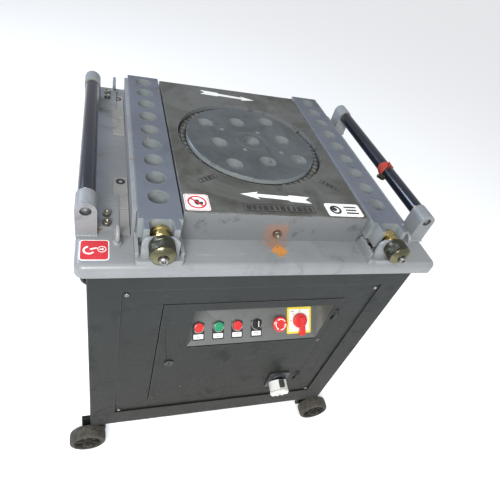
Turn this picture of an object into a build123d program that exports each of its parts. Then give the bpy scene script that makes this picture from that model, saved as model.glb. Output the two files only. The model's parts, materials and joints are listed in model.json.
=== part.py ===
from build123d import *
import os
from math import cos, pi, radians, sin

# Rebar bender with a cabinet, turntable and pin rails.  Units are millimetres.
# Geometry is written about the turntable axis (X to the right, Y to the back, Z up, floor at Z = 0)
# and moved along Y when saved, so that the origin lies under the middle of the whole machine.

# heights
RAIL_TOP = 900.0
DISC_TOP = 898.0
PAN_TOP = 829.0
PAN_SKIRT_BOTTOM = 802.0
CABINET_BOTTOM = 125.0
WHEEL_R = 50.0

# plan sizes, half widths about the turntable axis
PAN_X = 382.5
PAN_Y = 345.0
CABINET_X = 364.0
CABINET_Y = 316.0
TABLE_X = 197.0
TABLE_FRONT = -272.5
TABLE_BACK = 269.5
FRONT_REACH = 376.0
SHIFT_Y = (FRONT_REACH - PAN_Y) / 2

# turntable
DISC_R = 157.0
DISC_THICK = 44.0
DISC_TURN = 12.8
OPENING_R = 176.0
PIN_HOLE_R = 20.0
GRID_PITCH = 87.0
RING_TOP = 888.0
MAIN_SHAFT_R = 30.0

# pin rails
RAIL_X = 240.0
RAIL_HALF = 39.0
RAIL_THICK = 45.0
RAIL_FRONT = -323.0
RAIL_BACK = 275.0
RAIL_HOLES = 9
RAIL_PITCH = 59.25
RAIL_FIRST = -234.5
RIGHT_RAIL_SET = 7.5
SCREW_Z = 875.0
SCREW_R = 6.0
KNOB_BACK = -332.4

# feed rollers
ROLLER_X = 364.0
ROLLER_Z = 885.5
ROLLER_R = 16.0
ROLLER_SHAFT_R = 10.0
FRONT_BRACKET = (-266.5, -223.5)
REAR_BRACKET = (217.0, 260.0)
BRACKET_HALF = 18.5
ROLLER_BOLTS = (-242.0, -216.0, 260.0, 286.0)

# front panel, door and controls
SHEET = 3.0
PANEL_X = 300.0
PANEL_Z = (193.0, 730.0)
PANEL_FACE = -312.0
DOOR_X = (-213.0, 221.0)
DOOR_Z = (252.0, 675.0)
DOOR_FACE = -313.5
DOOR_THICK = 2.5
WINDOW_X = (-142.0, 208.0)
WINDOW_Z = (503.0, 650.0)
CONTROL_SLOPE = 135.0
CONTROL_S = 48.0
BUTTON_X = (-113.0, -63.0, -14.0)
SELECTOR_X = 38.0
STOP_X = 96.0
ISOLATOR_X = 158.5
ISOLATOR_S = 52.0
SCREW_ROWS = (PANEL_Z[0] + 10, 460.0, PANEL_Z[1] - 17)
SIDE_SCREWS = [(y, z) for y in (-243.0, 243.0) for z in (PANEL_Z[0] - 8, PANEL_Z[1] + 8)]
HINGE = (222.0, -315.2)
HINGE_Z = (300.0, 610.0)
SOCKET = (162.0, 290.0)
LOCK = (-177.5, 439.0)

# gear train: module, teeth, shaft places
BULL_MODULE = 5.0
BULL_TEETH = 72
BULL_PINION_TEETH = 12
SECOND_MODULE = 4.0
SECOND_TEETH = 75
SECOND_PINION_TEETH = 15
LAY_ANGLE = 142.0
LAY_DISTANCE = BULL_MODULE * (BULL_TEETH + BULL_PINION_TEETH) / 2
LAY = (LAY_DISTANCE * cos(radians(LAY_ANGLE)), LAY_DISTANCE * sin(radians(LAY_ANGLE)))
INPUT_ANGLE = -10.0
INPUT_DISTANCE = SECOND_MODULE * (SECOND_TEETH + SECOND_PINION_TEETH) / 2
INPUT = (
    LAY[0] + INPUT_DISTANCE * cos(radians(INPUT_ANGLE)),
    LAY[1] + INPUT_DISTANCE * sin(radians(INPUT_ANGLE)),
)
MOTOR = (220.0, -20.0)
BIG_PULLEY_R = 112.0
SMALL_PULLEY_R = 35.0
BULL_Z = (712.0, 752.0)
SECOND_Z = (650.0, 680.0)
PULLEY_Z = (566.0, 602.0)
HOUSING_Z = (618.0, 792.0)
BELT_Z = (575.0, 593.0)
RUN = 0.05

# wheels
WHEEL_X = 372.0
WHEEL_Y = 317.0
WHEEL_WIDTH = 36.0
AXLE_R = 8.0


def box(x0, x1, y0, y1, z0, z1):
    """Box between two corners."""
    size = Box(x1 - x0, y1 - y0, z1 - z0)
    return Pos((x0 + x1) / 2, (y0 + y1) / 2, (z0 + z1) / 2) * size


def rod_z(x, y, z0, z1, r):
    """Upright cylinder."""
    return Pos(x, y, (z0 + z1) / 2) * Cylinder(r, z1 - z0)


def rod_y(x, z, y0, y1, r):
    """Cylinder along Y."""
    return Pos(x, (y0 + y1) / 2, z) * Rot(90, 0, 0) * Cylinder(r, y1 - y0)


def rod_x(y, z, x0, x1, r):
    """Cylinder along X."""
    return Pos((x0 + x1) / 2, y, z) * Rot(0, 90, 0) * Cylinder(r, x1 - x0)


def tube_z(x, y, z0, z1, outer, inner):
    """Upright ring."""
    return rod_z(x, y, z0, z1, outer) - rod_z(x, y, z0 - 1, z1 + 1, inner)


def tube_y(x, z, y0, y1, outer, inner):
    """Ring along Y."""
    return rod_y(x, z, y0, y1, outer) - rod_y(x, z, y0 - 1, y1 + 1, inner)


def round_edges(shape, axis, radius):
    """Fillet the edges that run along an axis."""
    return fillet(shape.edges().filter_by(axis), radius)


def save(name, *shapes):
    """Write one node, moved so that the origin is under the machine's middle."""
    solids = []
    for shape in shapes:
        solids += list(shape.solids())
    moved = [Pos(0, SHIFT_Y, 0) * solid for solid in solids]
    body = moved[0] if len(moved) == 1 else Compound(moved)
    export_step(body, f"parts/{name}.step")


def hex_bolt_down(x, y, z, across, head, shank_r, depth):
    """Hexagon bolt standing on a face, its shank going down."""
    top = Pos(x, y, z) * extrude(RegularPolygon(across / 2, 6, major_radius=False), head)
    top = chamfer(top.faces().sort_by(Axis.Z)[-1].edges(), head * 0.12)
    return top + rod_z(x, y, z - depth, z + 1, shank_r)


def socket_bolt_down(x, y, z, head_r, head, shank_r, depth):
    """Cap screw with a hexagon socket, standing on a face."""
    body = rod_z(x, y, z, z + head, head_r)
    body = chamfer(body.faces().sort_by(Axis.Z)[-1].edges(), head_r * 0.1)
    key = Pos(x, y, z + head * 0.4) * extrude(RegularPolygon(head_r * 0.5, 6), head)
    return body - key + rod_z(x, y, z - depth, z + 0.5, shank_r)


def pan_head_front(x, y, z, r, head, shank_r, depth):
    """Round-headed screw facing the front, with a cross recess."""
    body = rod_y(x, z, y - head, y, r)
    body = fillet(body.faces().sort_by(Axis.Y)[0].edges(), head * 0.6)
    slot = box(x - r * 0.6, x + r * 0.6, y - head - 1, y - head * 0.5, z - r * 0.12, z + r * 0.12)
    cross = box(x - r * 0.12, x + r * 0.12, y - head - 1, y - head * 0.5, z - r * 0.6, z + r * 0.6)
    return body - slot - cross + rod_y(x, z, y - 0.5, y + depth, shank_r)


def gear(x, y, z0, z1, module, teeth, phase, bore):
    """Spur gear with straight-flanked teeth and running backlash; phase is one tooth's angle."""
    pitch_r = module * teeth / 2
    tip_r = pitch_r + 0.85 * module
    root_r = pitch_r - 1.2 * module
    step = 2 * pi / teeth
    points = []
    for i in range(teeth):
        middle = radians(phase) + i * step
        for radius, half in ((root_r, 0.29), (tip_r, 0.12)):
            points.append((radius, middle - half * step))
        for radius, half in ((tip_r, 0.12), (root_r, 0.29)):
            points.append((radius, middle + half * step))
    outline = [(r * cos(a), r * sin(a)) for r, a in points]
    face = make_face(Polyline(*outline, close=True))
    body = Pos(x, y, z0) * extrude(face, z1 - z0)
    return body - rod_z(x, y, z0 - 1, z1 + 1, bore)


def pulley(x, y, z0, z1, radius, bore, grooves):
    """Belt pulley with V grooves at the given heights."""
    body = rod_z(x, y, z0, z1, radius) - rod_z(x, y, z0 - 1, z1 + 1, bore)
    for z in grooves:
        outline = Polyline(
            (radius - 11, z - 5.8), (radius + 1, z - 8.0), (radius + 1, z + 8.0), (radius - 11, z + 5.8),
            close=True,
        )
        profile = Plane.XZ * make_face(outline)
        body -= Pos(x, y, 0) * revolve(profile, Axis.Z)
    return body


def belt(z):
    """One belt round both pulleys, clear of the groove walls."""
    def loop(inset):
        a = Pos(INPUT[0], INPUT[1]) * Circle(BIG_PULLEY_R - inset)
        b = Pos(MOTOR[0], MOTOR[1]) * Circle(SMALL_PULLEY_R - inset)
        return make_face(make_hull(a.edges() + b.edges()).edges())
    ring = extrude(loop(1.0), 10) - extrude(loop(9.5), 10)
    return Pos(0, 0, z - 5) * ring


# ------------------------------------------------------------------ chassis and cabinet

def wheel_bracket(side, end):
    """Hanging plate with a foot that carries one stub axle."""
    x = side * WHEEL_X
    inner = end * (WHEEL_Y - WHEEL_WIDTH / 2 - 8)
    y0, y1 = sorted((inner, inner - end * 10))
    p0, p1 = sorted((x - side * 50, x + side * 16))
    plate = box(p0, p1, y0, y1, WHEEL_R - 20, CABINET_BOTTOM - 8)
    f0, f1 = sorted((inner, inner - end * 60))
    g0, g1 = sorted((x - side * 50, side * CABINET_X))
    foot = box(g0, g1, f0, f1, CABINET_BOTTOM - 8, CABINET_BOTTOM)
    return plate + foot + rod_y(x, WHEEL_R, y0 - 6, y1 + 6, 16)


def chassis():
    floor = box(-CABINET_X + 4, CABINET_X - 4, -CABINET_Y + 4, CABINET_Y - 4, CABINET_BOTTOM, 131)
    ribs = [box(-CABINET_X + 4, CABINET_X - 4, y - 20, y + 20, 131, 136) for y in (-200, 0, 200)]
    for rib in ribs:
        floor += rib
    for side, end in ((-1, -1), (-1, 1), (1, -1), (1, 1)):
        y0, y1 = sorted((end * (WHEEL_Y - WHEEL_WIDTH / 2 - 26), end * (WHEEL_Y + 22)))
        head0, head1 = sorted((end * (WHEEL_Y + 19), end * (WHEEL_Y + 24)))
        axle = rod_y(side * WHEEL_X, WHEEL_R, y0, y1, AXLE_R)
        floor += wheel_bracket(side, end) + axle + rod_y(side * WHEEL_X, WHEEL_R, head0, head1, 12)
    save("chassis", floor)


def wheel(side, end):
    """Spoked hub and solid tyre for one corner."""
    x = side * WHEEL_X
    y = end * WHEEL_Y
    half = WHEEL_WIDTH / 2
    rim = tube_y(x, WHEEL_R, y - half + 1, y + half - 1, 38, 33)
    web = rod_y(x, WHEEL_R, y - 4, y + 4, 33.5)
    for i in range(5):
        a = 2 * pi * i / 5 + pi / 2
        web -= rod_y(x + 22.5 * cos(a), WHEEL_R + 22.5 * sin(a), y - 6, y + 6, 7.5)
    spokes = None
    for i in range(5):
        spoke = Pos(x, y, WHEEL_R) * Rot(0, 36 + 72 * i, 0) * Pos(0, 0, 22) * Box(5, 26, 24)
        spokes = spoke if spokes is None else spokes + spoke
    boss = rod_y(x, WHEEL_R, y - half, y + half, 14)
    hub = rim + web + spokes + boss - rod_y(x, WHEEL_R, y - half - 1, y + half + 1, AXLE_R + RUN)
    tyre = tube_y(x, WHEEL_R, y - half, y + half, WHEEL_R, 38)
    tyre = fillet(tyre.edges().filter_by(GeomType.CIRCLE).group_by(SortBy.RADIUS)[-1], 5)
    return hub + tyre


def side_opening(sign):
    x0, x1 = sorted((sign * (CABINET_X - 20), sign * (CABINET_X + 5)))
    return box(x0, x1, -235, 235, *PANEL_Z)


def cabinet():
    shell = box(-CABINET_X, CABINET_X, -CABINET_Y, CABINET_Y, CABINET_BOTTOM, PAN_TOP - 4)
    shell = round_edges(shell, Axis.Z, 4)
    inner = box(
        -CABINET_X + SHEET, CABINET_X - SHEET, -CABINET_Y + SHEET, CABINET_Y - SHEET,
        CABINET_BOTTOM - 1, PAN_TOP,
    )
    shell -= inner
    shell -= box(-PANEL_X, PANEL_X, -CABINET_Y - 5, -CABINET_Y + 5, *PANEL_Z)
    shell -= box(-PANEL_X, PANEL_X, CABINET_Y - 5, CABINET_Y + 5, *PANEL_Z)
    for sign in (-1, 1):
        shell -= side_opening(sign)
    shell -= rod_y(-250, 165, CABINET_Y - 6, CABINET_Y + 6, 12)
    ledge = 14.0
    for sign in (-1, 1):
        y0, y1 = sorted((sign * (CABINET_Y - SHEET), sign * (CABINET_Y - SHEET - 3)))
        wide = box(-PANEL_X - ledge, PANEL_X + ledge, y0, y1, PANEL_Z[0] - ledge, PANEL_Z[1] + ledge)
        shell += wide - box(-PANEL_X, PANEL_X, y0 - 1, y1 + 1, *PANEL_Z)
        low = Pos(0, -sign * 3, 0) * wide
        shell += low - box(-PANEL_X + ledge, PANEL_X - ledge, -400, 400, PANEL_Z[0] + ledge,
                           PANEL_Z[1] - ledge)
    for x in (-PANEL_X + 10, PANEL_X - 10):
        for z in SCREW_ROWS:
            shell -= rod_y(x, z, -CABINET_Y, CABINET_Y, 2.5)
    for y, z in SIDE_SCREWS:
        shell -= rod_x(y, z, -CABINET_X - 1, CABINET_X + 1, 2.5)
    save("cabinet_shell", shell)


def front_panel():
    y0 = PANEL_FACE
    y1 = PANEL_FACE + 2
    panel = box(-PANEL_X + 1, PANEL_X - 1, y0, y1, PANEL_Z[0] + 1, PANEL_Z[1] - 1)
    panel -= box(DOOR_X[0] - 2, DOOR_X[1] + 2, y0 - 1, y1 + 1, DOOR_Z[0] - 2, DOOR_Z[1] + 2)
    for x0, x1 in ((-PANEL_X, DOOR_X[0]), (DOOR_X[1], PANEL_X)):
        panel -= box(x0 - 5, x1 + 5, y0 - 1, y0 + 0.7, DOOR_Z[1] + 1.2, DOOR_Z[1] + 2.4)
    hx, hy = HINGE
    for z in HINGE_Z:
        panel -= box(DOOR_X[1], hx + 5.5, y0 - 1, y1 + 1, z - 21, z + 21)
        panel += rod_z(hx, hy, z - 20, z - 0.2, 3.2) + rod_z(hx, hy, z - 20, z + 20, 1.5)
        panel += box(hx + 0.5, hx + 14, y0 - 1.5, y0, z - 20, z - 0.2)
        panel += box(hx + 0.5, hx + 3.2, hy, y0, z - 20, z - 0.2)
    screws = []
    for x in (-PANEL_X + 10, PANEL_X - 10):
        for z in (SCREW_ROWS[0], SCREW_ROWS[2]):
            panel -= rod_y(x, z, y0 - 1, y1 + 1, 2.5)
            screws.append(pan_head_front(x, y0, z, 5, 3, 2.5, 6))
    save("front_panel", panel)
    return screws


def louvre(x, y, z, width):
    """Cut for one vent slot in a wall that faces Y."""
    return box(x - width / 2, x + width / 2, y - 10, y + 10, z - 2.5, z + 2.5)


def covers(screws):
    y0 = -PANEL_FACE - 2
    cover = box(-PANEL_X + 1, PANEL_X - 1, y0, y0 + 2, PANEL_Z[0] + 1, PANEL_Z[1] - 1)
    for i in range(8):
        for x in (-110, 110):
            cover -= louvre(x, y0 + 1, 520 + 18 * i, 140)
    for x in (-PANEL_X + 10, PANEL_X - 10):
        for z in SCREW_ROWS:
            cover -= rod_y(x, z, y0 - 1, y0 + 3, 2.5)
            screws.append(Rot(0, 0, 180) * pan_head_front(-x, -y0 - 2, z, 5, 3, 2.5, 6))
    sheets = [cover]
    for sign in (-1, 1):
        x0, x1 = sorted((sign * (CABINET_X - SHEET), sign * (CABINET_X - SHEET - 2)))
        side = box(x0, x1, -250, 250, PANEL_Z[0] - 15, PANEL_Z[1] + 15)
        for i in range(8):
            side -= box(x0 - 1, x1 + 1, -80, 80, 297.5 + 18 * i, 302.5 + 18 * i)
        for y, z in SIDE_SCREWS:
            side -= rod_x(y, z, x0 - 1, x1 + 1, 2.5)
            turn = Rot(0, 0, sign * 90)
            screws.append(turn * pan_head_front(sign * y, -CABINET_X, z, 5, 3, 2.5, 7))
        sheets.append(side)
    save("service_covers", *sheets)
    save("panel_screws", *screws)


def gland():
    body = tube_y(-250, 165, CABINET_Y - 12, CABINET_Y + 10, 12, 7)
    nut = Pos(-250, CABINET_Y, 165) * Rot(-90, 0, 0) * extrude(RegularPolygon(15, 6), 9)
    dome = tube_y(-250, 165, CABINET_Y + 9, CABINET_Y + 22, 11, 7)
    save("cable_gland", body + nut + dome - rod_y(-250, 165, 290, 350, 7))


# ------------------------------------------------------------------ table top

def pan():
    outer = box(-PAN_X, PAN_X, -PAN_Y, PAN_Y, PAN_SKIRT_BOTTOM, PAN_TOP)
    outer = round_edges(outer, Axis.Z, 18)
    outer = fillet(outer.faces().sort_by(Axis.Z)[-1].edges(), 12)
    inner = box(-PAN_X + 4, PAN_X - 4, -PAN_Y + 4, PAN_Y - 4, PAN_SKIRT_BOTTOM - 1, PAN_TOP - 4)
    inner = round_edges(inner, Axis.Z, 14)
    inner = fillet(inner.faces().sort_by(Axis.Z)[-1].edges(), 8)
    shape = outer - inner - rod_z(0, 0, PAN_TOP - 10, PAN_TOP + 5, 62)
    for side in (-1, 1):
        for y in ROLLER_BOLTS:
            shape -= rod_z(side * 329, y, PAN_TOP - 5, PAN_TOP + 1, 5)
        for dx in (-26, 26):
            shape -= rod_z(side * RAIL_X + dx, -300, PAN_TOP - 5, PAN_TOP + 1, 4.5)
    save("table_pan", shape)


def work_table():
    block = box(-TABLE_X, TABLE_X, TABLE_FRONT, TABLE_BACK, PAN_TOP, DISC_TOP)
    block = chamfer(block.faces().sort_by(Axis.Z)[-1].edges(), 1.5)
    block -= rod_z(0, 0, 840, DISC_TOP + 5, OPENING_R)
    block -= rod_z(0, 0, PAN_TOP - 1, 850, 62)
    block -= rod_y(0, 850, TABLE_FRONT - 1, TABLE_FRONT + 30, 6)
    save("work_table", block)
    head = rod_y(0, 850, TABLE_FRONT - 7, TABLE_FRONT, 9)
    head = chamfer(head.faces().sort_by(Axis.Y)[0].edges(), 1)
    key = Pos(0, TABLE_FRONT - 3, 850) * Rot(90, 0, 0) * extrude(RegularPolygon(5, 6), 8)
    bolt = head - key + rod_y(0, 850, TABLE_FRONT - 1, TABLE_FRONT + 30, 6)
    dog = box(-9, 9, 159, 174, 889.5, 896.5) + box(-7, 7, 174, OPENING_R, 889.5, 896.5)
    dog &= rod_z(0, 0, RING_TOP, DISC_TOP, OPENING_R)
    save("stop_dog", Rot(0, 0, -60) * dog)
    return bolt


def rail(side, shift):
    x = side * RAIL_X
    z0 = RAIL_TOP - RAIL_THICK
    body = box(x - RAIL_HALF, x + RAIL_HALF, -296 + shift, RAIL_BACK + shift, z0, RAIL_TOP)
    body += box(x - 31, x + 31, RAIL_FRONT + shift, -295 + shift, z0, RAIL_TOP)
    notch = box(x - 21, x + 21, RAIL_FRONT - 20 + shift, -297 + shift, z0 - 1, RAIL_TOP + 1)
    body -= round_edges(notch, Axis.Z, 8)
    body = chamfer(body.faces().sort_by(Axis.Z)[-1].edges(), 0.8)
    for i in range(RAIL_HOLES):
        body -= rod_z(x, RAIL_FIRST + i * RAIL_PITCH + shift, z0 - 1, RAIL_TOP + 1, PIN_HOLE_R)
    return body - rod_y(x, SCREW_Z, RAIL_FRONT + shift - 1, -256 + shift, SCREW_R + RUN)


def rails():
    save("pin_rail_left", rail(-1, 0))
    save("pin_rail_right", rail(1, RIGHT_RAIL_SET))
    bed_top = RAIL_TOP - RAIL_THICK - 0.2
    channels = []
    for side in (-1, 1):
        x = side * RAIL_X
        g0, g1 = sorted((side * (RAIL_X + RAIL_HALF + 0.3), side * (RAIL_X + RAIL_HALF + 8)))
        b0, b1 = sorted((side * (RAIL_X - 36), side * (RAIL_X + RAIL_HALF + 1)))
        guide = round_edges(box(g0, g1, -270, 268, PAN_TOP, 894), Axis.Z, 2)
        channels.append(guide + box(b0, b1, -268, 266, PAN_TOP, bed_top))
    save("rail_channels", *channels)


def adjuster(side):
    """Bracket, screw, collar and hand knob at the front of one rail."""
    x = side * RAIL_X
    base = box(x - 43, x + 43, -342, -271, PAN_TOP, 841)
    base = round_edges(base, Axis.Z, 6)
    for edge in (-1, 1):
        rim = box(x + edge * 40 - 3, x + edge * 40 + 3, -332, -280, 841, 852)
        base += rim
    upright = box(x - 33, x + 33, KNOB_BACK + 0.4, -326, PAN_TOP, 887)
    upright = fillet(upright.edges().filter_by(Axis.Y).group_by(Axis.Z)[-1], 14)
    bracket = base + upright - rod_y(x, SCREW_Z, -345, -320, SCREW_R + RUN)
    for dx in (-26, 26):
        bracket -= rod_z(x + dx, -300, PAN_TOP - 1, 845, 4.5)
    screw = rod_y(x, SCREW_Z, -364, -262, SCREW_R)
    collar = tube_y(x, SCREW_Z, -325.6, -299.8, 17, SCREW_R)
    collar -= tube_y(x, SCREW_Z, -314, -311, 20, 15)
    collar = chamfer(collar.edges().filter_by(GeomType.CIRCLE).group_by(SortBy.RADIUS)[-1], 1)
    knob = tube_y(x, SCREW_Z, -364, KNOB_BACK, 23, SCREW_R)
    knob = fillet(knob.edges().filter_by(GeomType.CIRCLE).group_by(SortBy.RADIUS)[-1], 2.5)
    cap = rod_y(x, SCREW_Z, -376, -364, 8)
    cap = chamfer(cap.faces().sort_by(Axis.Y)[0].edges(), 1.2)
    key = Pos(x, -370, SCREW_Z) * Rot(90, 0, 0) * extrude(RegularPolygon(4, 6), 8)
    bolts = [hex_bolt_down(x + dx, -300, 841, 13, 6, 4.5, 20) for dx in (-26, 26)]
    return bracket, screw, collar, knob, cap - key, bolts


def adjusters():
    bolts = []
    brackets = []
    for side, name in ((-1, "left"), (1, "right")):
        bracket, screw, collar, knob, cap, pair = adjuster(side)
        save(f"adjuster_screw_{name}", screw + cap + collar)
        save(f"adjuster_knob_{name}", knob)
        brackets.append(bracket)
        bolts += pair
    save("adjuster_brackets", *brackets)
    return bolts


def roller_bracket(side, span, foot, bolts_y):
    x = side * ROLLER_X
    post = box(x - BRACKET_HALF, x + BRACKET_HALF, span[0], span[1], PAN_TOP, ROLLER_Z)
    post += rod_y(x, ROLLER_Z, span[0], span[1], BRACKET_HALF)
    f0, f1 = sorted((side * (ROLLER_X - BRACKET_HALF + 1), side * 307))
    pad = round_edges(box(f0, f1, foot[0], foot[1], PAN_TOP, 837), Axis.Z, 3)
    body = post + pad - rod_y(x, ROLLER_Z, span[0] - 1, span[1] + 1, ROLLER_SHAFT_R)
    for y in bolts_y:
        body -= rod_z(side * 329, y, PAN_TOP - 1, 840, 5)
    return body


def rollers(bolts):
    brackets = []
    shafts = []
    for side, name in ((-1, "left"), (1, "right")):
        front = roller_bracket(side, FRONT_BRACKET, (-252, -155), ROLLER_BOLTS[:2])
        rear = roller_bracket(side, REAR_BRACKET, (206, 300), ROLLER_BOLTS[2:])
        brackets += [front, rear]
        bolts += [socket_bolt_down(side * 329, y, 837, 8, 8, 5, 16) for y in ROLLER_BOLTS]
        x = side * ROLLER_X
        shafts.append(rod_y(x, ROLLER_Z, -264, 257, ROLLER_SHAFT_R))
        y0 = FRONT_BRACKET[1] + 0.6
        y1 = REAR_BRACKET[0] - 0.6
        roller = tube_y(x, ROLLER_Z, y0 + 3, y1 - 3, ROLLER_R, 13)
        for a, b, f0, f1 in ((y0 + 3, y0 + 25, y0, y0 + 3), (y1 - 25, y1 - 3, y1 - 3, y1)):
            roller += tube_y(x, ROLLER_Z, a, b, 13.5, ROLLER_SHAFT_R + RUN)
            roller += tube_y(x, ROLLER_Z, f0, f1, 15, ROLLER_SHAFT_R + RUN)
        save(f"roller_{name}", roller)
    save("roller_brackets", *brackets)
    save("roller_shafts", *shafts)
    save("cap_screws", *bolts)


def pads_and_eyes():
    pads = []
    for side in (-1, 1):
        for y0, y1, hole in ((-265, -196, None), (-194, -90, -106), (85, 163, None), (165, 280, 262)):
            p0, p1 = sorted((side * 289, side * 305))
            wide0, wide1 = sorted((side * 288.5, side * (305.5 if hole is None else 306)))
            pad = box(wide0, wide1, y0, y1, PAN_TOP, 833)
            if hole is not None:
                pad -= rod_z((p0 + p1) / 2, hole, PAN_TOP - 1, 840, 6)
            pads.append(pad)
    save("packing_strips", *pads)
    eyes = []
    for side in (-1, 1):
        for y in (-285, 312):
            x = side * 311
            ring = Pos(x, y, 851) * Rot(0, 90, 0) * Torus(12, 4)
            collar = rod_z(x, y, PAN_TOP, 836, 9)
            neck = rod_z(x, y, 834, 841, 6)
            eyes.append(ring + collar + neck)
    save("lifting_eyes", *eyes)


# ------------------------------------------------------------------ turntable and drive

def turntable():
    z0 = DISC_TOP - DISC_THICK
    disc = rod_z(0, 0, z0, DISC_TOP, DISC_R)
    disc = chamfer(disc.faces().sort_by(Axis.Z)[-1].edges(), 1.5)
    disc -= tube_z(0, 0, DISC_TOP - 0.8, DISC_TOP + 1, 37.6, 36.6)
    for i in (-1, 0, 1):
        for j in (-1, 0, 1):
            depth = 40 if (i, j) == (0, 0) else DISC_THICK + 10
            x = i * GRID_PITCH
            y = j * GRID_PITCH
            disc -= rod_z(x, y, DISC_TOP - depth, DISC_TOP + 1, PIN_HOLE_R)
    for r, angle in ((50, 45), (50, 225), (78, 135), (78, 315)):
        disc -= rod_z(r * cos(radians(angle)), r * sin(radians(angle)), z0 + 10, DISC_TOP + 1, 6)
    turned = Rot(0, 0, DISC_TURN) * disc
    save("turntable_disc", turned)
    ring = tube_z(0, 0, z0, RING_TOP, OPENING_R - 2, DISC_R)
    for i in range(38):
        start = 104 if i < 19 else 284
        a = radians(start + 6 * (i % 19))
        ring -= rod_z(166 * cos(a), 166 * sin(a), RING_TOP - 12, RING_TOP + 1, 3.5)
    save("angle_ring", ring)


def drive():
    seat = DISC_TOP - DISC_THICK
    main = rod_z(0, 0, 628, seat, MAIN_SHAFT_R) + rod_z(0, 0, seat - 12, seat, 58)
    save("main_shaft", main)
    bull_phase = LAY_ANGLE + 180 / BULL_TEETH
    bull = gear(0, 0, *BULL_Z, BULL_MODULE, BULL_TEETH, bull_phase, MAIN_SHAFT_R)
    for z0, z1 in ((BULL_Z[0], BULL_Z[0] + 12), (BULL_Z[1] - 12, BULL_Z[1])):
        bull -= tube_z(0, 0, z0 - 0.01, z1 + 0.01, 155, 62)
    save("bull_gear", bull)

    lay = gear(*LAY, *BULL_Z, BULL_MODULE, BULL_PINION_TEETH, LAY_ANGLE + 180, 12)
    save("lay_shaft", lay + rod_z(*LAY, 626, 784, 15))
    second_phase = INPUT_ANGLE + 180 / SECOND_TEETH
    second = gear(*LAY, *SECOND_Z, SECOND_MODULE, SECOND_TEETH, second_phase, 15)
    for z0, z1 in ((SECOND_Z[0], SECOND_Z[0] + 9), (SECOND_Z[1] - 9, SECOND_Z[1])):
        second -= tube_z(*LAY, z0 - 0.01, z1 + 0.01, 130, 45)
    save("lay_gear", second)

    drive_pinion = gear(*INPUT, *SECOND_Z, SECOND_MODULE, SECOND_PINION_TEETH, INPUT_ANGLE + 180, 12)
    save("input_shaft", drive_pinion + rod_z(*INPUT, 560, 700, 14))
    save("input_pulley", pulley(*INPUT, *PULLEY_Z, BIG_PULLEY_R, 14, BELT_Z))
    save("drive_belts", *[belt(z) for z in BELT_Z])

    rotor = rod_z(*MOTOR, 318, 604, 12) + rod_z(*MOTOR, 370, 500, 42)
    save("motor_rotor", rotor)
    save("motor_pulley", pulley(*MOTOR, *PULLEY_Z, SMALL_PULLEY_R, 12, BELT_Z))


def motor(bolts):
    x, y = MOTOR
    body = rod_z(x, y, 345, 525, 72)
    for i in range(24):
        a = 15 * i
        fin = Pos(x, y, 435) * Rot(0, 0, a) * Pos(75, 0, 0) * Box(12, 3, 160)
        body += fin
    flange = tube_z(x, y, 525, 541, 95, 12 + RUN)
    for i in range(4):
        a = radians(45 + 90 * i)
        flange -= rod_z(x + 82 * cos(a), y + 82 * sin(a), 520, 545, 5.5)
    cowl = rod_z(x, y, 300, 352, 76) - rod_z(x, y, 303, 344, 73)
    for i in range(12):
        a = radians(30 * i)
        cowl -= rod_z(x + 45 * cos(a), y + 45 * sin(a), 299, 304, 7)
    terminals = round_edges(box(x - 120, x - 70, y - 40, y + 40, 400, 480), Axis.X, 4)
    housing = body + flange + cowl + terminals - rod_z(x, y, 357, 515, 62)
    save("motor_housing", housing - rod_z(x, y, 310, 545, 12 + RUN))
    plate = box(125, 318, y - 105, y + 120, 541, 551)
    for px, py in ((135, -120), (183, -120), (183, 80)):
        plate += box(px, px + 20, py, py + 20, 551, HOUSING_Z[0])
    plate -= rod_z(x, y, 540, 552, 60)
    for i in range(4):
        a = radians(45 + 90 * i)
        bx = x + 82 * cos(a)
        by = y + 82 * sin(a)
        plate -= rod_z(bx, by, 540, 552, 5.5)
        bolts.append(hex_bolt_down(bx, by, 551, 16, 7, 5.5, 26))
    save("motor_plate", plate)
    save("hex_bolts", *bolts)


def gearbox():
    x0, x1, y0, y1 = -340.0, 204.0, -199.0, 300.0
    z0, z1 = HOUSING_Z
    wall = box(x0, x1, y0, y1, z0, z1)
    wall = round_edges(wall, Axis.Z, 20)
    inner = round_edges(box(x0 + 10, x1 - 10, y0 + 10, y1 - 10, z0 + 10, z1 + 1), Axis.Z, 12)
    wall -= inner
    wall += rod_z(0, 0, z0, z0 + 22, 50) + rod_z(*LAY, z0, z0 + 20, 30) + rod_z(*INPUT, z0, z0 + 22, 32)
    wall -= rod_z(0, 0, z0 + 6, z0 + 30, 42)
    wall -= rod_z(*LAY, z0 + 6, z0 + 30, 24)
    wall -= rod_z(*INPUT, z0 + 6, z0 + 30, 24)
    wall -= rod_z(*INPUT, z0 - 1, z0 + 8, 14 + RUN)
    save("gearbox_housing", wall)
    lid = round_edges(box(x0, x1, y0, y1, z1, z1 + 12), Axis.Z, 20)
    lid += rod_z(0, 0, z1 + 12, PAN_TOP - 4, 95)
    lid -= rod_z(0, 0, z1 - 1, PAN_TOP + 1, 42)
    lid += rod_z(*LAY, z1 + 11, z1 + 18, 34)
    lid -= rod_z(*LAY, z1 - 5, z1 + 12, 24)
    save("gearbox_lid", lid)
    rings = [
        tube_z(0, 0, z0 + 6, z0 + 22, 42, MAIN_SHAFT_R + RUN),
        tube_z(0, 0, z1 + 6, z1 + 30, 42, MAIN_SHAFT_R + RUN),
        tube_z(*LAY, z0 + 6, z0 + 20, 24, 15 + RUN),
        tube_z(*LAY, z1 - 4, z1 + 12, 24, 15 + RUN),
        tube_z(*INPUT, z0 + 6, z0 + 22, 24, 14 + RUN),
    ]
    save("shaft_bearings", *rings)


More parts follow.
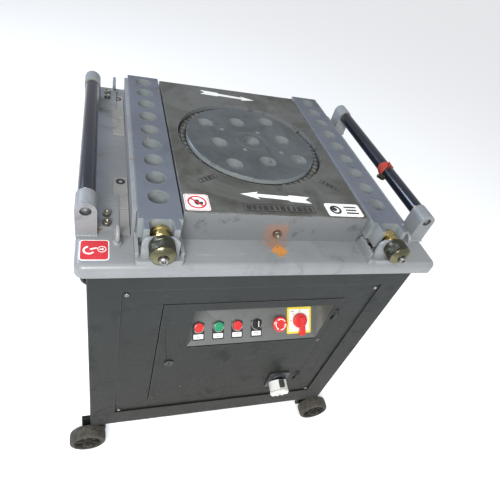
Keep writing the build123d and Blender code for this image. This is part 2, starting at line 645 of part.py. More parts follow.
def electrics():
    units = [box(-359, -356, -180, 120, 200, 480)]
    for i in range(3):
        y = -150 + 62 * i
        block = round_edges(box(-356, -272, y, y + 45, 370, 445), Axis.Z, 2)
        units.append(block - box(-282, -265, y + 12, y + 33, 392, 424))
    core = box(-356, -277, -150, -60, 225, 300) - box(-357, -276, -132, -78, 245, 280)
    coil = box(-356, -269, -125, -85, 245, 280)
    save("switchgear", *units, core + coil)


# ------------------------------------------------------------------ door and controls

def on_slope(shape):
    """Place a shape drawn on XY (Y up the slope, Z outward) on the inclined control plate."""
    plane = Plane(origin=(0, DOOR_FACE, WINDOW_Z[0]), x_dir=(1, 0, 0), z_dir=(0, -sin(pi / 4), cos(pi / 4)))
    return plane.location * shape


def door():
    y0 = DOOR_FACE
    y1 = DOOR_FACE + DOOR_THICK
    sheet = box(DOOR_X[0], DOOR_X[1], y0, y1, DOOR_Z[0], DOOR_Z[1])
    sheet -= box(WINDOW_X[0], WINDOW_X[1], y0 - 1, y1 + 1, WINDOW_Z[0], WINDOW_Z[1])
    for z in HINGE_Z:
        sheet -= box(HINGE[0] - 5.5, HINGE[0] + 5, y0 - 1, y1 + 1, z - 21, z + 21)
    sheet -= rod_y(LOCK[0], LOCK[1], y0 - 1, y1 + 1, 8)
    hx, hy = HINGE
    for z in HINGE_Z:
        sheet += rod_z(hx, hy, z + 0.2, z + 20, 3.2) + box(hx - 14, hx - 0.5, y0 - 1.2, y0, z + 0.2, z + 20)
        sheet -= rod_z(hx, hy, z - 25, z + 25, 1.55)
    sheet -= rod_y(SOCKET[0], SOCKET[1], y0 - 1, y1 + 1, 24)
    save("control_door", sheet)

    depth = CONTROL_SLOPE * sin(pi / 4)
    top = WINDOW_Z[0] + CONTROL_SLOPE * cos(pi / 4)
    side = Polyline(
        (y1, WINDOW_Z[0]), (y0 + depth, top), (y0 + depth + 8, top), (y0 + depth + 8, WINDOW_Z[1] + 4),
        (y1, WINDOW_Z[1] + 4), close=True,
    )
    cheek = extrude(Plane.YZ * make_face(side), 2)
    recess = Pos(WINDOW_X[0] - 2, 0, 0) * cheek + Pos(WINDOW_X[1], 0, 0) * cheek
    recess += box(WINDOW_X[0] - 2, WINDOW_X[1] + 2, y1, y0 + depth + 8, WINDOW_Z[1] + 2, WINDOW_Z[1] + 4)
    recess += box(WINDOW_X[0] - 2, WINDOW_X[1] + 2, y0 + depth + 6, y0 + depth + 8, top, WINDOW_Z[1] + 4)
    plate = Pos(33, CONTROL_SLOPE / 2 + 2, -1) * Box(350, CONTROL_SLOPE - 2, 2)
    for x in BUTTON_X + (SELECTOR_X, STOP_X):
        plate -= Pos(x, CONTROL_S, -1) * Cylinder(11.1, 6)
    plate -= Pos(ISOLATOR_X, ISOLATOR_S, -1) * Cylinder(8, 6)
    save("control_recess", recess + on_slope(plate))


def push_button(x, cap_r, cap_h):
    """Bezel with its rear barrel, and the moving cap with its stem."""
    bezel = Pos(x, CONTROL_S, 3.1) * Cylinder(14.5, 6) - Pos(x, CONTROL_S, 3.1) * Cylinder(12, 8)
    bezel = fillet(bezel.edges().filter_by(GeomType.CIRCLE).group_by(Axis.Z)[-1].sort_by(SortBy.RADIUS)[-1], 2)
    barrel = Pos(x, CONTROL_S, -13.9) * (Cylinder(11, 28) - Cylinder(9, 30))
    rear = Pos(x, CONTROL_S, -42) * Box(28, 28, 28)
    lip = Pos(x, CONTROL_S, 0.6) * Cylinder(14.5, 1.0) - Pos(x, CONTROL_S, 0.6) * Cylinder(9, 3)
    head = Pos(x, CONTROL_S, 5.5 + cap_h / 2) * Cylinder(cap_r, cap_h)
    head = fillet(head.faces().sort_by(Axis.Z)[-1].edges(), 1.2)
    stem = Pos(x, CONTROL_S, -6.2) * Cylinder(8.7, 23.6)
    return bezel + barrel + lip, rear, head + stem


def controls():
    bezels = []
    rears = []
    legends = []
    names = ("stop_button", "start_button", "jog_button")
    for x, name in zip(BUTTON_X, names):
        bezel, rear, cap = push_button(x, 11.7, 3.2)
        bezels.append(on_slope(bezel))
        rears.append(on_slope(rear))
        save(name, on_slope(cap))
    bezel, rear, cap = push_button(SELECTOR_X, 11.7, 4.0)
    grip = Pos(SELECTOR_X, CONTROL_S, 14) * Box(8, 23, 10)
    grip = fillet(grip.edges().filter_by(Axis.Z), 3.9)
    bezels.append(on_slope(bezel))
    rears.append(on_slope(rear))
    save("selector_knob", on_slope(cap + grip))
    for x in BUTTON_X + (SELECTOR_X,):
        outline = Pos(x, 37, 0.05) * Box(30, 43, 0.1)
        outline -= Pos(x, CONTROL_S, 0) * Cylinder(14.6, 4)
        legends.append(on_slope(outline))
    stop_base = Pos(STOP_X, CONTROL_S, 3) * Cylinder(14.5, 6) - Pos(STOP_X, CONTROL_S, 3) * Cylinder(9, 8)
    stop_tube = Pos(STOP_X, CONTROL_S, -13.9) * (Cylinder(11, 28) - Cylinder(9, 30))
    bezels.append(on_slope(stop_base + stop_tube))
    rears.append(on_slope(Pos(STOP_X, CONTROL_S, -42) * Box(28, 28, 28)))
    stem = Pos(STOP_X, CONTROL_S, 3) * Cylinder(8.7, 32)
    head = Pos(STOP_X, CONTROL_S, 21) * Cylinder(20, 9)
    head = fillet(head.faces().sort_by(Axis.Z)[-1].edges(), 4)
    head += Pos(STOP_X, CONTROL_S, 15) * Cone(11, 17, 5)
    save("emergency_stop", on_slope(head + stem))
    save("control_bezels", *bezels, *legends)
    isolator = Pos(ISOLATOR_X, ISOLATOR_S, 1.5) * Box(70, 70, 3)
    isolator = round_edges(isolator, Axis.Z, 1)
    isolator -= Pos(ISOLATOR_X, ISOLATOR_S, 1) * Cylinder(8, 10)
    plane_z = Pos(ISOLATOR_X, ISOLATOR_S, 0)
    save("isolator_plate", on_slope(isolator))
    body = Pos(ISOLATOR_X, ISOLATOR_S, -27.05) * Box(56, 56, 50)
    save("contact_blocks", *rears, on_slope(body))
    knob = Pos(ISOLATOR_X, ISOLATOR_S, 8.2) * Cylinder(20, 10)
    lever = plane_z * Pos(5, -14, 14) * Box(15, 50, 12)
    lever = fillet(lever.edges().filter_by(Axis.Z), 4)
    axle = plane_z * Pos(0, 0, 1) * Cylinder(7.7, 5)
    save("isolator_handle", on_slope(knob + lever + axle))


def door_fittings():
    x, z = LOCK
    latch = rod_y(x, z, DOOR_FACE - 3, DOOR_FACE - 0.05, 12)
    latch = chamfer(latch.faces().sort_by(Axis.Y)[0].edges(), 0.8)
    latch += rod_y(x, z, DOOR_FACE - 1, DOOR_FACE + 24, 8 - RUN)
    latch -= box(x - 1.2, x + 1.2, DOOR_FACE - 4, DOOR_FACE + 3, z - 5, z + 5)
    tongue = box(x - 8, x + 8, DOOR_FACE + 18, DOOR_FACE + 22, z - 46, z + 6)
    save("door_latch", latch + tongue)

    x, z = SOCKET
    flange = round_edges(box(x - 32, x + 32, DOOR_FACE - 5, DOOR_FACE, z - 36, z + 36), Axis.Y, 6)
    mouth = Pos(x, DOOR_FACE - 4, z) * Rot(105, 0, 0)
    horn = mouth * Pos(0, 0, 12) * Cylinder(27, 40)
    horn &= box(x - 60, x + 60, DOOR_FACE - 80, DOOR_FACE - 2, z - 70, z + 70)
    bore = mouth * Pos(0, 0, 32) * Cylinder(22, 40)
    back = tube_y(x, z, DOOR_FACE - 1, DOOR_FACE + 30, 23.5, 20)
    lug = mouth * Pos(0, 30, 25) * Box(14, 12, 14)
    lug -= mouth * Pos(0, 34, 34) * Rot(0, 90, 0) * Cylinder(6, 20)
    save("pedal_socket", flange + horn + lug - bore + back)
    lid = mouth * Pos(0, 0, 34.8) * Cylinder(29, 5)
    lid += mouth * Pos(0, 31, 34.8) * Box(12, 8, 5)
    save("socket_lid", lid)


def main():
    os.makedirs("parts", exist_ok=True)
    chassis()
    for end, row in ((-1, "front"), (1, "rear")):
        for side, name in ((-1, "left"), (1, "right")):
            save(f"wheel_{row}_{name}", wheel(side, end))
    cabinet()
    covers(front_panel())
    gland()
    pan()
    front_bolt = work_table()
    rails()
    hex_bolts = adjusters()
    rollers([front_bolt])
    pads_and_eyes()
    turntable()
    drive()
    motor(hex_bolts)
    gearbox()
    electrics()
    door()
    controls()
    door_fittings()


main()
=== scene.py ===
import json
import math

import bmesh
import bpy
from mathutils import Matrix, Vector


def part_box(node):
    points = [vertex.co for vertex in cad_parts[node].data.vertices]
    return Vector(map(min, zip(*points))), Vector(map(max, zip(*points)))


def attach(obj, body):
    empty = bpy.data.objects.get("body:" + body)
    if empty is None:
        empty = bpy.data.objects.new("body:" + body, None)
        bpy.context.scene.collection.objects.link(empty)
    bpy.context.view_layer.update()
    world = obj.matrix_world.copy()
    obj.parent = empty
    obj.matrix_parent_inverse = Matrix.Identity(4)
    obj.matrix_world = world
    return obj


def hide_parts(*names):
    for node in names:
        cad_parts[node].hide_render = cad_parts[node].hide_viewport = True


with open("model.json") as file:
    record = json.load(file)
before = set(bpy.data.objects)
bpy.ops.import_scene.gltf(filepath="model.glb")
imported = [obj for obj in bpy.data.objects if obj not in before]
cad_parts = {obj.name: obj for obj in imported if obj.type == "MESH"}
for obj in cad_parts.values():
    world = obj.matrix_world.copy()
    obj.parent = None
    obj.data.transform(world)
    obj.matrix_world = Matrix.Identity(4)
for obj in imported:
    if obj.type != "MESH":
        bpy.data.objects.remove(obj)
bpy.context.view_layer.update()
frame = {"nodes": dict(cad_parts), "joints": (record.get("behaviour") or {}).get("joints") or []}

bl_info = {
    "name": "Rebar Bender",
    "version": (1, 0, 0),
    "blender": (4, 5, 0),
    "location": "3D View > Sidebar > Bender",
    "description": "Builds the looks of a cabinet rebar bender around its mechanical frame",
    "category": "Add Mesh",
}

JOINTS = {joint["name"]: joint for joint in frame["joints"]}
DIAGONAL = math.sqrt(0.5)
SHIFT_Y = JOINTS["turntable_turn"]["pos_m"][1]
COLLAR_BACK = -0.2998  # back of the adjusters' collars, measured from the disc axis
TURN = 2 * math.pi
MERGE = 1e-7  # points nearer than this are one
WELD_GAP = 0.000005  # points of a carried-over part nearer than this are one
SMOOTH_ANGLE = 32  # degrees; sharper edges stay crisp
COAT_ROUGHNESS = 0.12
RUST_STRENGTH = 0.45
SCREW_RADIUS = 0.006
SCREW_BORE = 0.0062
AXLE_BORE = 0.0083
NUT_RADIUS = 0.0135
EYE_RADIUS = 0.0142
EYE_BAR = 0.0039
SOCKET_LEAN = math.radians(15)
FLOOR_REACH = 40
FLOOR_DROP = 0.0004
FLOOR_GLOW = 0.3
WORLD_LIGHT = 0.55
LENS = 29.66
SENSOR = 36
CAMERA_PLACE = (-0.3345, -0.8238, 1.3792)
CAMERA_AXES = ((0.94496, -0.01033, -0.32703), (-0.22534, 0.70413, -0.67337), (0.23723, 0.71, 0.66304))


# ---------------------------------------------------------------- properties


def colour(name, description, default):
    """A colour setting."""
    return bpy.props.FloatVectorProperty(
        name=name, description=description, default=default, subtype="COLOR", size=3, min=0, max=1
    )


def length(name, description, default):
    """A size setting in metres."""
    return bpy.props.FloatProperty(
        name=name, description=description, default=default, unit="LENGTH", subtype="DISTANCE",
        min=0, precision=5,
    )


class BenderColours(bpy.types.PropertyGroup):
    """Colours of the paint, metal, rubber and plastic."""

    paint: colour("Cabinet paint", "Enamel on the cabinet and door", (0.026, 0.03, 0.03))
    # Painted shade: this darker copy of the enamel is blended in towards the floor. It stands for the shade lower down
    # on the cabinet, not for grime.
    paint_shaded_low: colour("Cabinet paint low", "Same enamel where grime gathers near the floor", (0.012, 0.013, 0.01))
    top_paint: colour("Pan paint", "Enamel on the pan and its brackets", (0.232, 0.246, 0.258))
    rail_paint: colour("Rail paint", "Enamel on the pin rails", (0.108, 0.122, 0.15))
    plate_paint: colour("Table paint", "Thin worn film on the work table", (0.094, 0.096, 0.089))
    plate_grime: colour("Table grime", "Oil and mill scale rubbed into the table", (0.042, 0.041, 0.033))
    disc_paint: colour("Disc paint", "Worn film on the turning disc", (0.068, 0.079, 0.083))
    # Partly painted highlight: this lighter colour on upright faces stands for clean metal in the pin holes, and also
    # for light catching the disc rim and rail sides.
    wall_wear_and_highlight: colour("Bore walls", "Clean metal and thin paint inside the pin holes", (0.205, 0.228, 0.233))
    recess_paint: colour("Control plate", "Plate behind the push buttons", (0.135, 0.142, 0.138))
    bare_steel: colour("Bare steel", "Metal where paint has gone", (0.3, 0.3, 0.29))
    zinc: colour("Zinc", "Plated screws and bolts", (0.34, 0.32, 0.27))
    bronze: colour("Bronze", "Thrust collars and bushes", (0.5, 0.4, 0.16))
    knob: colour("Knob", "Olive-black hand knobs", (0.06, 0.06, 0.042))
    roller: colour("Roller", "Black polished feed rollers", (0.006, 0.008, 0.016))
    rust: colour("Rust", "Rust run and stain", (0.36, 0.13, 0.035))
    tyre: colour("Tyre", "Rubber under dust", (0.035, 0.033, 0.027))
    dust: colour("Dust", "Dry dust on the wheels", (0.085, 0.076, 0.06))
    hub: colour("Wheel hub", "Dark wheel centre", (0.02, 0.019, 0.017))
    red: colour("Red", "Red caps and handle", (0.62, 0.03, 0.028))
    green: colour("Green", "Green start button", (0.018, 0.27, 0.12))
    white: colour("White", "White plastic and labels", (0.74, 0.74, 0.7))
    yellow: colour("Yellow", "Main switch border", (0.78, 0.62, 0.06))
    black: colour("Black", "Black plastic", (0.014, 0.014, 0.015))
    slate: colour("Slate", "Dark grey plastic flange", (0.03, 0.034, 0.037))
    floor: colour("Floor", "Pale floor", (0.94, 0.94, 0.94))


class BenderSizes(bpy.types.PropertyGroup):
    """Small sizes that only affect looks."""

    edge: length("Edge radius", "Rounding on machined edges", 0.0007)
    sheet_edge: length("Sheet edge radius", "Rounding on folded sheet edges", 0.0004)
    sticker: length("Label thickness", "Thickness of labels and plates", 0.0003)
    thread_pitch: length("Thread pitch", "Pitch of the adjusting screws", 0.0025)
    thread_depth: length("Thread depth", "Depth of the screw thread", 0.0009)
    weld: length("Weld size", "Leg of the small fillet welds", 0.0028)
    knob_flutes: bpy.props.IntProperty(name="Knob flutes", description="Knurl grooves round a knob", default=64, min=8)
    wheel_spokes: bpy.props.IntProperty(name="Wheel spokes", description="Spokes in each wheel", default=5, min=3)


def colours():
    """The colour settings."""
    return bpy.context.scene.bender_colours


def sizes():
    """The size settings."""
    return bpy.context.scene.bender_sizes


# ---------------------------------------------------------------- materials


class Shade:
    """A material being put together, with short names for the usual nodes."""

    def __init__(self, name):
        self.material = bpy.data.materials.new(name)
        self.material.use_nodes = True
        self.tree = self.material.node_tree
        self.tree.nodes.clear()
        self.out = self.add("ShaderNodeOutputMaterial")
        self.bsdf = self.add("ShaderNodeBsdfPrincipled")
        self.tree.links.new(self.bsdf.outputs[0], self.out.inputs[0])
        self.place = self.add("ShaderNodeTexCoord").outputs["Object"]

    def add(self, kind, **inputs):
        """A new node, with its inputs connected or set by name."""
        node = self.tree.nodes.new(kind)
        for name, value in inputs.items():
            self.put(node.inputs[name], value)
        return node

    def put(self, socket, value):
        """Connect a socket, or set it."""
        if isinstance(value, bpy.types.NodeSocket):
            self.tree.links.new(value, socket)
        elif socket.type == "RGBA" and len(value) == 3:
            socket.default_value = (*value, 1)
        else:
            socket.default_value = value

    def stretch(self, scale):
        """Object coordinates scaled unevenly."""
        return self.add("ShaderNodeMapping", Vector=self.place, Scale=scale).outputs[0]

    def noise(self, scale, detail=4.0, rough=0.55, where=None, warp=0.0):
        """Fractal noise from 0 to 1."""
        node = self.add("ShaderNodeTexNoise", Vector=where or self.place, Scale=scale, Detail=detail,
                        Roughness=rough, Distortion=warp)
        return node.outputs["Fac"]

    def cells(self, scale):
        """Distance to scattered points."""
        return self.add("ShaderNodeTexVoronoi", Vector=self.place, Scale=scale).outputs["Distance"]

    def step(self, value, low, high, out_low=0.0, out_high=1.0):
        """A soft step between two values."""
        node = self.add("ShaderNodeMapRange")
        node.interpolation_type = "SMOOTHSTEP"
        for socket, number in zip(node.inputs, (value, low, high, out_low, out_high)):
            self.put(socket, number)
        return node.outputs[0]

    def calc(self, operation, a, b=0.0):
        """Arithmetic on two values."""
        node = self.add("ShaderNodeMath")
        node.operation = operation
        self.put(node.inputs[0], a)
        self.put(node.inputs[1], b)
        return node.outputs[0]

    def times(self, a, b):
        """Product of two values."""
        return self.calc("MULTIPLY", a, b)

    def blend(self, share, a, b):
        """A mix of two colours."""
        node = self.add("ShaderNodeMix")
        node.data_type = "RGBA"
        self.put(node.inputs[0], share)
        self.put(node.inputs[6], a)
        self.put(node.inputs[7], b)
        return node.outputs[2]

    def axis(self, name):
        """One coordinate."""
        node = self.add("ShaderNodeSeparateXYZ")
        self.put(node.inputs[0], self.place)
        return node.outputs[name]

    def edges(self, radius):
        """Near 1 along sharp edges."""
        bevel = self.add("ShaderNodeBevel", Radius=radius)
        bevel.samples = 4
        shape = self.add("ShaderNodeNewGeometry")
        dot = self.add("ShaderNodeVectorMath")
        dot.operation = "DOT_PRODUCT"
        self.put(dot.inputs[0], bevel.outputs[0])
        self.put(dot.inputs[1], shape.outputs["Normal"])
        return self.step(dot.outputs["Value"], 0.995, 0.86)

    def spot(self, centre, radius, squash=(1, 1, 1)):
        """Near 1 around a point, with a ragged edge."""
        node = self.add("ShaderNodeVectorMath")
        node.operation = "DISTANCE"
        scaled = self.add("ShaderNodeVectorMath")
        scaled.operation = "MULTIPLY"
        self.put(scaled.inputs[0], self.place)
        scaled.inputs[1].default_value = squash
        self.put(node.inputs[0], scaled.outputs[0])
        node.inputs[1].default_value = [c * s for c, s in zip(centre, squash)]
        ragged = self.times(self.calc("SUBTRACT", self.noise(55, 5), 0.5), radius * 1.6)
        return self.step(self.calc("ADD", node.outputs["Value"], ragged), radius, radius * 0.25)

    def facing_up(self):
        """1 on level surfaces, 0 on upright ones."""
        shape = self.add("ShaderNodeNewGeometry")
        parts = self.add("ShaderNodeSeparateXYZ", Vector=shape.outputs["Normal"])
        return self.step(parts.outputs["Z"], 0.35, 0.75)

    def rusted(self, tint, spots):
        """Rust stains at (centre, radius, squash) spots."""
        stain = None
        for centre, radius, squash in spots:
            mark = self.spot(centre, radius, squash)
            stain = mark if stain is None else self.calc("MAXIMUM", stain, mark)
        return tint if stain is None else self.blend(self.times(stain, RUST_STRENGTH), tint, colours().rust)

    def finish(self, base, rough, bumps, metallic=0.0, coat=0.0, shine=0.5):
        """Set the surface; bumps are (height, distance) pairs."""
        surface = {"Specular IOR Level": shine, "Base Color": base, "Roughness": rough, "Metallic": metallic}
        if coat:
            surface.update({"Coat Weight": coat, "Coat Roughness": COAT_ROUGHNESS})
        for name, value in surface.items():
            self.put(self.bsdf.inputs[name], value)
        normal = None
        for height, distance in bumps:
            node = self.add("ShaderNodeBump", Distance=distance, Strength=1.0, Height=height)
            if normal is not None:
                self.put(node.inputs["Normal"], normal)
            normal = node.outputs[0]
        if normal is not None:
            self.put(self.bsdf.inputs["Normal"], normal)
        return self.material


def toned(base, factor, lift=0.0):
    """A colour multiplied and lifted, at most 1 in each channel."""
    return [min(1, c * factor + lift) for c in base]


def painted(name, base, low=None, wear=0.5, grime=0.3, rough=0.36, rust=(), shine=0.5, gleam=0.25,
            side=None):
    """Sprayed enamel with orange peel, grime, scuffs and chipped edges; a low colour adds painted shade towards the
    bottom.
    """
    shade = Shade(name)
    cloud = shade.noise(5, 5, 0.6)
    fine = shade.noise(140, 3, 0.6)
    tint = shade.blend(shade.step(cloud, 0.35, 0.7), base, toned(base, 0.8))
    # Painted shade: the enamel darkens towards the bottom, down to the low colour.
    if low is not None:
        painted_shade_fall = shade.step(shade.axis("Z"), 0.8, 0.15)
        tint = shade.blend(painted_shade_fall, tint, low)
    if side is not None:
        tint = shade.blend(shade.facing_up(), side, tint)
    dirt = shade.step(shade.noise(14, 6, 0.7, warp=0.6), 0.52, 0.74, 0, grime)
    tint = shade.blend(dirt, tint, toned(base, 0.42))
    rubbed = shade.step(shade.noise(1, 6, 0.75, shade.stretch((9, 55, 30))), 0.6, 0.72, 0, grime * 0.8)
    tint = shade.blend(rubbed, tint, toned(base, 1.5, 0.03))
    rims = shade.edges(0.0022)
    tint = shade.blend(shade.times(rims, gleam), tint, toned(base, 2.4, 0.05))
    chips = shade.times(rims, shade.step(shade.noise(70, 5, 0.7), 0.6 - 0.12 * wear, 0.66))
    nicks = shade.step(shade.noise(34, 2, 0.4), 0.8 - 0.05 * wear, 0.815 - 0.05 * wear)
    bare = shade.calc("MAXIMUM", chips, nicks)
    metal_tint = shade.blend(shade.noise(190, 3), colours().bare_steel, colours().rust)
    tint = shade.blend(bare, tint, metal_tint)
    tint = shade.rusted(tint, rust)
    gloss = shade.step(fine, 0.2, 0.8, rough - 0.05, rough + 0.08)
    gloss = shade.calc("ADD", gloss, shade.times(dirt, 0.5))
    peel = shade.noise(420, 2, 0.5)
    return shade.finish(tint, gloss, [(peel, 0.00006), (shade.calc("SUBTRACT", 1.0, bare), 0.00012)],
                        shade.times(bare, 0.6), coat=0.15 * shine, shine=shine)


def worn_plate(name, base, grime, centre, rough=0.4, shine=0.35, rust=(), side=None):
    """Thick plate with a thin rubbed film, bar scuffs, oil and bright edges."""
    shade = Shade(name)
    large = shade.noise(7, 6, 0.62, warp=0.8)
    tint = shade.blend(shade.step(large, 0.36, 0.66), base, grime)
    along = shade.noise(1, 7, 0.78, shade.stretch((7, 120, 60)))
    across = shade.noise(1, 7, 0.78, shade.stretch((110, 9, 60)))
    scuff = shade.calc("MAXIMUM", shade.step(along, 0.6, 0.74), shade.step(across, 0.63, 0.76))
    tint = shade.blend(shade.times(scuff, 0.3), tint, toned(base, 1.7))
    if side is not None:
        tint = shade.blend(shade.facing_up(), side, tint)
    oil = shade.step(shade.noise(19, 5, 0.66), 0.56, 0.66)
    tint = shade.blend(shade.times(oil, 0.35), tint, toned(grime, 0.45))
    speck = shade.step(shade.noise(240, 3, 0.6), 0.66, 0.74)
    tint = shade.blend(shade.times(speck, 0.5), tint, toned(base, 0.5))
    bright = shade.times(shade.edges(0.0026), shade.step(shade.noise(46, 4, 0.7), 0.42, 0.6))
    tint = shade.blend(bright, tint, toned(colours().bare_steel, 1.1))
    tint = shade.rusted(tint, rust)
    gloss = shade.step(shade.noise(30, 5, 0.7), 0.3, 0.7, rough - 0.1, rough + 0.14)
    gloss = shade.calc("SUBTRACT", gloss, shade.times(oil, 0.12))
    moved = shade.add("ShaderNodeMapping", Vector=shade.place, Location=(-centre[0], -centre[1], 0))
    swirl = shade.add("ShaderNodeTexWave", Vector=moved.outputs[0], Scale=130, Distortion=0.4)
    swirl.wave_type = "RINGS"
    swirl.rings_direction = "Z"
    metallic = shade.calc("MAXIMUM", shade.times(bright, 0.8), shade.times(scuff, shine))
    return shade.finish(tint, gloss, [(swirl.outputs["Fac"], 0.00002), (scuff, 0.00004),
                                      (shade.noise(90, 5, 0.7), 0.0001)], metallic, coat=0.1)


def turned(name, base, rough=0.28, stain=0.35, tarnish=(0.1, 0.08, 0.05), metallic=1.0, lines=900):
    """Machined or plated metal with turning lines and tarnish."""
    shade = Shade(name)
    patch = shade.step(shade.noise(60, 5, 0.7, warp=0.5), 0.48, 0.7)
    tint = shade.blend(shade.times(patch, stain), base, tarnish)
    grain = shade.noise(lines, 2, 0.5)
    tint = shade.blend(shade.times(grain, 0.25), tint, toned(base, 0.7))
    gloss = shade.step(shade.noise(120, 4, 0.7), 0.3, 0.75, rough - 0.06, rough + 0.16)
    return shade.finish(tint, gloss, [(grain, 0.00003), (shade.noise(70, 4, 0.6), 0.00006)], metallic)


def moulded(name, base, rough=0.3, grime=0.25, grain=500, coat=0.0):
    """Moulded plastic, faintly textured, dirty in places."""
    shade = Shade(name)
    tint = shade.blend(shade.step(shade.noise(45, 5, 0.7), 0.48, 0.72, 0, grime), base, toned(base, 0.45))
    tint = shade.blend(shade.step(shade.noise(600, 2), 0.64, 0.72, 0, grime), tint, (0.1, 0.09, 0.07))
    gloss = shade.step(shade.noise(80, 4), 0.3, 0.7, rough - 0.06, rough + 0.1)
    return shade.finish(tint, gloss, [(shade.noise(grain, 2), 0.00004)], 0.0, coat)


def polished(name, base):
    """Blackened bar, rubbed smooth along its length with a few dull bands."""
    shade = Shade(name)
    bands = shade.noise(1, 3, 0.5, shade.stretch((3, 9, 3)))
    tint = shade.blend(shade.step(bands, 0.5, 0.7), base, toned(base, 1.5))
    dull = shade.step(shade.noise(26, 5, 0.7), 0.6, 0.74)
    tint = shade.blend(shade.times(dull, 0.3), tint, (0.05, 0.047, 0.042))
    gloss = shade.step(bands, 0.3, 0.7, 0.13, 0.22)
    gloss = shade.calc("ADD", gloss, shade.times(dull, 0.12))
    return shade.finish(tint, gloss, [(shade.noise(90, 2), 0.000006)], 0.2, coat=0.5)


def tyre_rubber(name, base, dust):
    """Solid rubber, ground grey-brown by dust and grit."""
    shade = Shade(name)
    grit = shade.noise(110, 6, 0.75, warp=0.3)
    tint = shade.blend(shade.step(grit, 0.36, 0.62), base, dust)
    tint = shade.blend(shade.step(shade.cells(260), 0.1, 0.3, 0.7, 0.0), tint, toned(dust, 1.4))
    tint = shade.blend(shade.step(shade.noise(24, 4), 0.5, 0.7, 0, 0.6), tint, base)
    return shade.finish(tint, 0.88, [(grit, 0.0009), (shade.cells(330), 0.0004)])


def woven(name, base):
    """Plain woven tape."""
    shade = Shade(name)
    warp = shade.noise(1, 1, 0.5, shade.stretch((2600, 300, 300)))
    weft = shade.noise(1, 1, 0.5, shade.stretch((300, 2600, 2600)))
    tint = shade.blend(shade.times(warp, weft), toned(base, 0.6), toned(base, 1.35))
    return shade.finish(tint, 0.82, [(warp, 0.0002), (weft, 0.0002)])


def make_materials():
    """Every material, by a plain name."""
    c = colours()
    pan_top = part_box("table_pan")[1].z
    table_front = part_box("work_table")[0].y
    axle = JOINTS["turntable_turn"]["pos_m"]
    bolt = (0.0, table_front, pan_top + 0.021)
    run = (0.0, table_front - 0.012, pan_top)
    rust = ((bolt, 0.03, (0.9, 1, 0.8)), (run, 0.026, (1, 1, 1)))
    return {
        "cabinet": painted("cabinet_paint", c.paint, c.paint_shaded_low, 0.3, 0.35, 0.42, (), 0.16, 0.55),
        "pan": painted("pan_paint", c.top_paint, None, 0.55, 0.55, 0.34, rust),
        # Rail sides and hole walls take the lighter wall colour, partly as a painted highlight.
        "rail": painted("rail_paint", c.rail_paint, None, 0.9, 0.45, 0.4, side=c.wall_wear_and_highlight),
        "bracket": painted("bracket_paint", c.top_paint, None, 0.9, 0.6, 0.4),
        "recess": painted("recess_paint", c.recess_paint, None, 0.2, 0.4, 0.42),
        "strip": painted("strip_paint", toned(c.bare_steel, 0.95), None, 1.4, 1.0, 0.5),
        "table": worn_plate("table_plate", c.plate_paint, c.plate_grime, axle, 0.4, 0.3, rust[:1],
                            toned(c.top_paint, 0.64)),
        # Disc rim and hole walls take the lighter wall colour, partly as a painted highlight.
        "disc": worn_plate("disc_plate", c.disc_paint, toned(c.disc_paint, 0.6), axle, 0.34, 0.45, (),
                           c.wall_wear_and_highlight),
        "ring": worn_plate("ring_steel", toned(c.plate_paint, 0.95), c.plate_grime, axle, 0.44, 0.3),
        "steel": turned("bare_steel", c.bare_steel, 0.34, 0.5),
        "zinc": turned("zinc_plate", c.zinc, 0.36, 0.6),
        "chrome": turned("bright_trim", (0.62, 0.62, 0.62), 0.14, 0.15),
        "bronze": turned("bronze", c.bronze, 0.3, 0.35, (0.12, 0.09, 0.03)),
        "knob": turned("knob_finish", c.knob, 0.26, 0.4, (0.02, 0.02, 0.015), 0.75),
        "knob_cap": turned("knob_cap", (0.17, 0.165, 0.1), 0.22, 0.45, (0.03, 0.03, 0.02), 0.9),
        "roller": polished("roller_black", c.roller),
        "gear": turned("gear_steel", (0.3, 0.29, 0.27), 0.34, 0.6, (0.05, 0.04, 0.02)),
        "casting": painted("casting_paint", (0.09, 0.13, 0.16), None, 0.8, 0.8, 0.5),
        "belt": moulded("belt_rubber", (0.02, 0.02, 0.02), 0.75, 0.5),
        "tyre": tyre_rubber("tyre_rubber", c.tyre, c.dust),
        "hub": tyre_rubber("hub_dusty", c.hub, toned(c.dust, 0.45)),
        "red": moulded("red_plastic", c.red, 0.26, 0.15, coat=0.3),
        "green": moulded("green_plastic", c.green, 0.26, 0.15, coat=0.3),
        "white": moulded("white_plastic", c.white, 0.34, 0.3),
        "yellow": moulded("yellow_plastic", c.yellow, 0.34, 0.2),
        "black": moulded("black_plastic", c.black, 0.38, 0.3),
        "slate": moulded("slate_plastic", c.slate, 0.42, 0.3),
        "label_white": moulded("label_white", (0.82, 0.82, 0.8), 0.3, 0.3, 900),
        "label_red": moulded("label_red", (0.55, 0.028, 0.04), 0.28, 0.25, 900),
        "label_black": moulded("label_black", (0.02, 0.02, 0.02), 0.36, 0.3, 900),
        "stain": moulded("stain_orange", (0.5, 0.21, 0.05), 0.72, 1.0, 300),
        "ribbon": woven("ribbon_red", (0.48, 0.055, 0.035)),
    }


MATERIALS = {}


# ---------------------------------------------------------------- mesh tools


def shift(x, y, z=0.0):
    """A move without a turn."""
    return Matrix.Translation((x, y, z))


def spin(angle):
    """A turn about Z."""
    return Matrix.Rotation(angle, 4, "Z")


def placed(origin, x, y, z):
    """A placement at an origin with the given axes."""
    return Matrix.Translation(origin) @ Matrix((x, y, z)).transposed().to_4x4()


def along(origin, direction, side=(1, 0, 0)):
    """A placement whose Z runs along a direction and X stays near a side vector."""
    z = Vector(direction).normalized()
    x = Vector(side)
    x = (x - z * x.dot(z)).normalized()
    return placed(origin, x, z.cross(x), z)


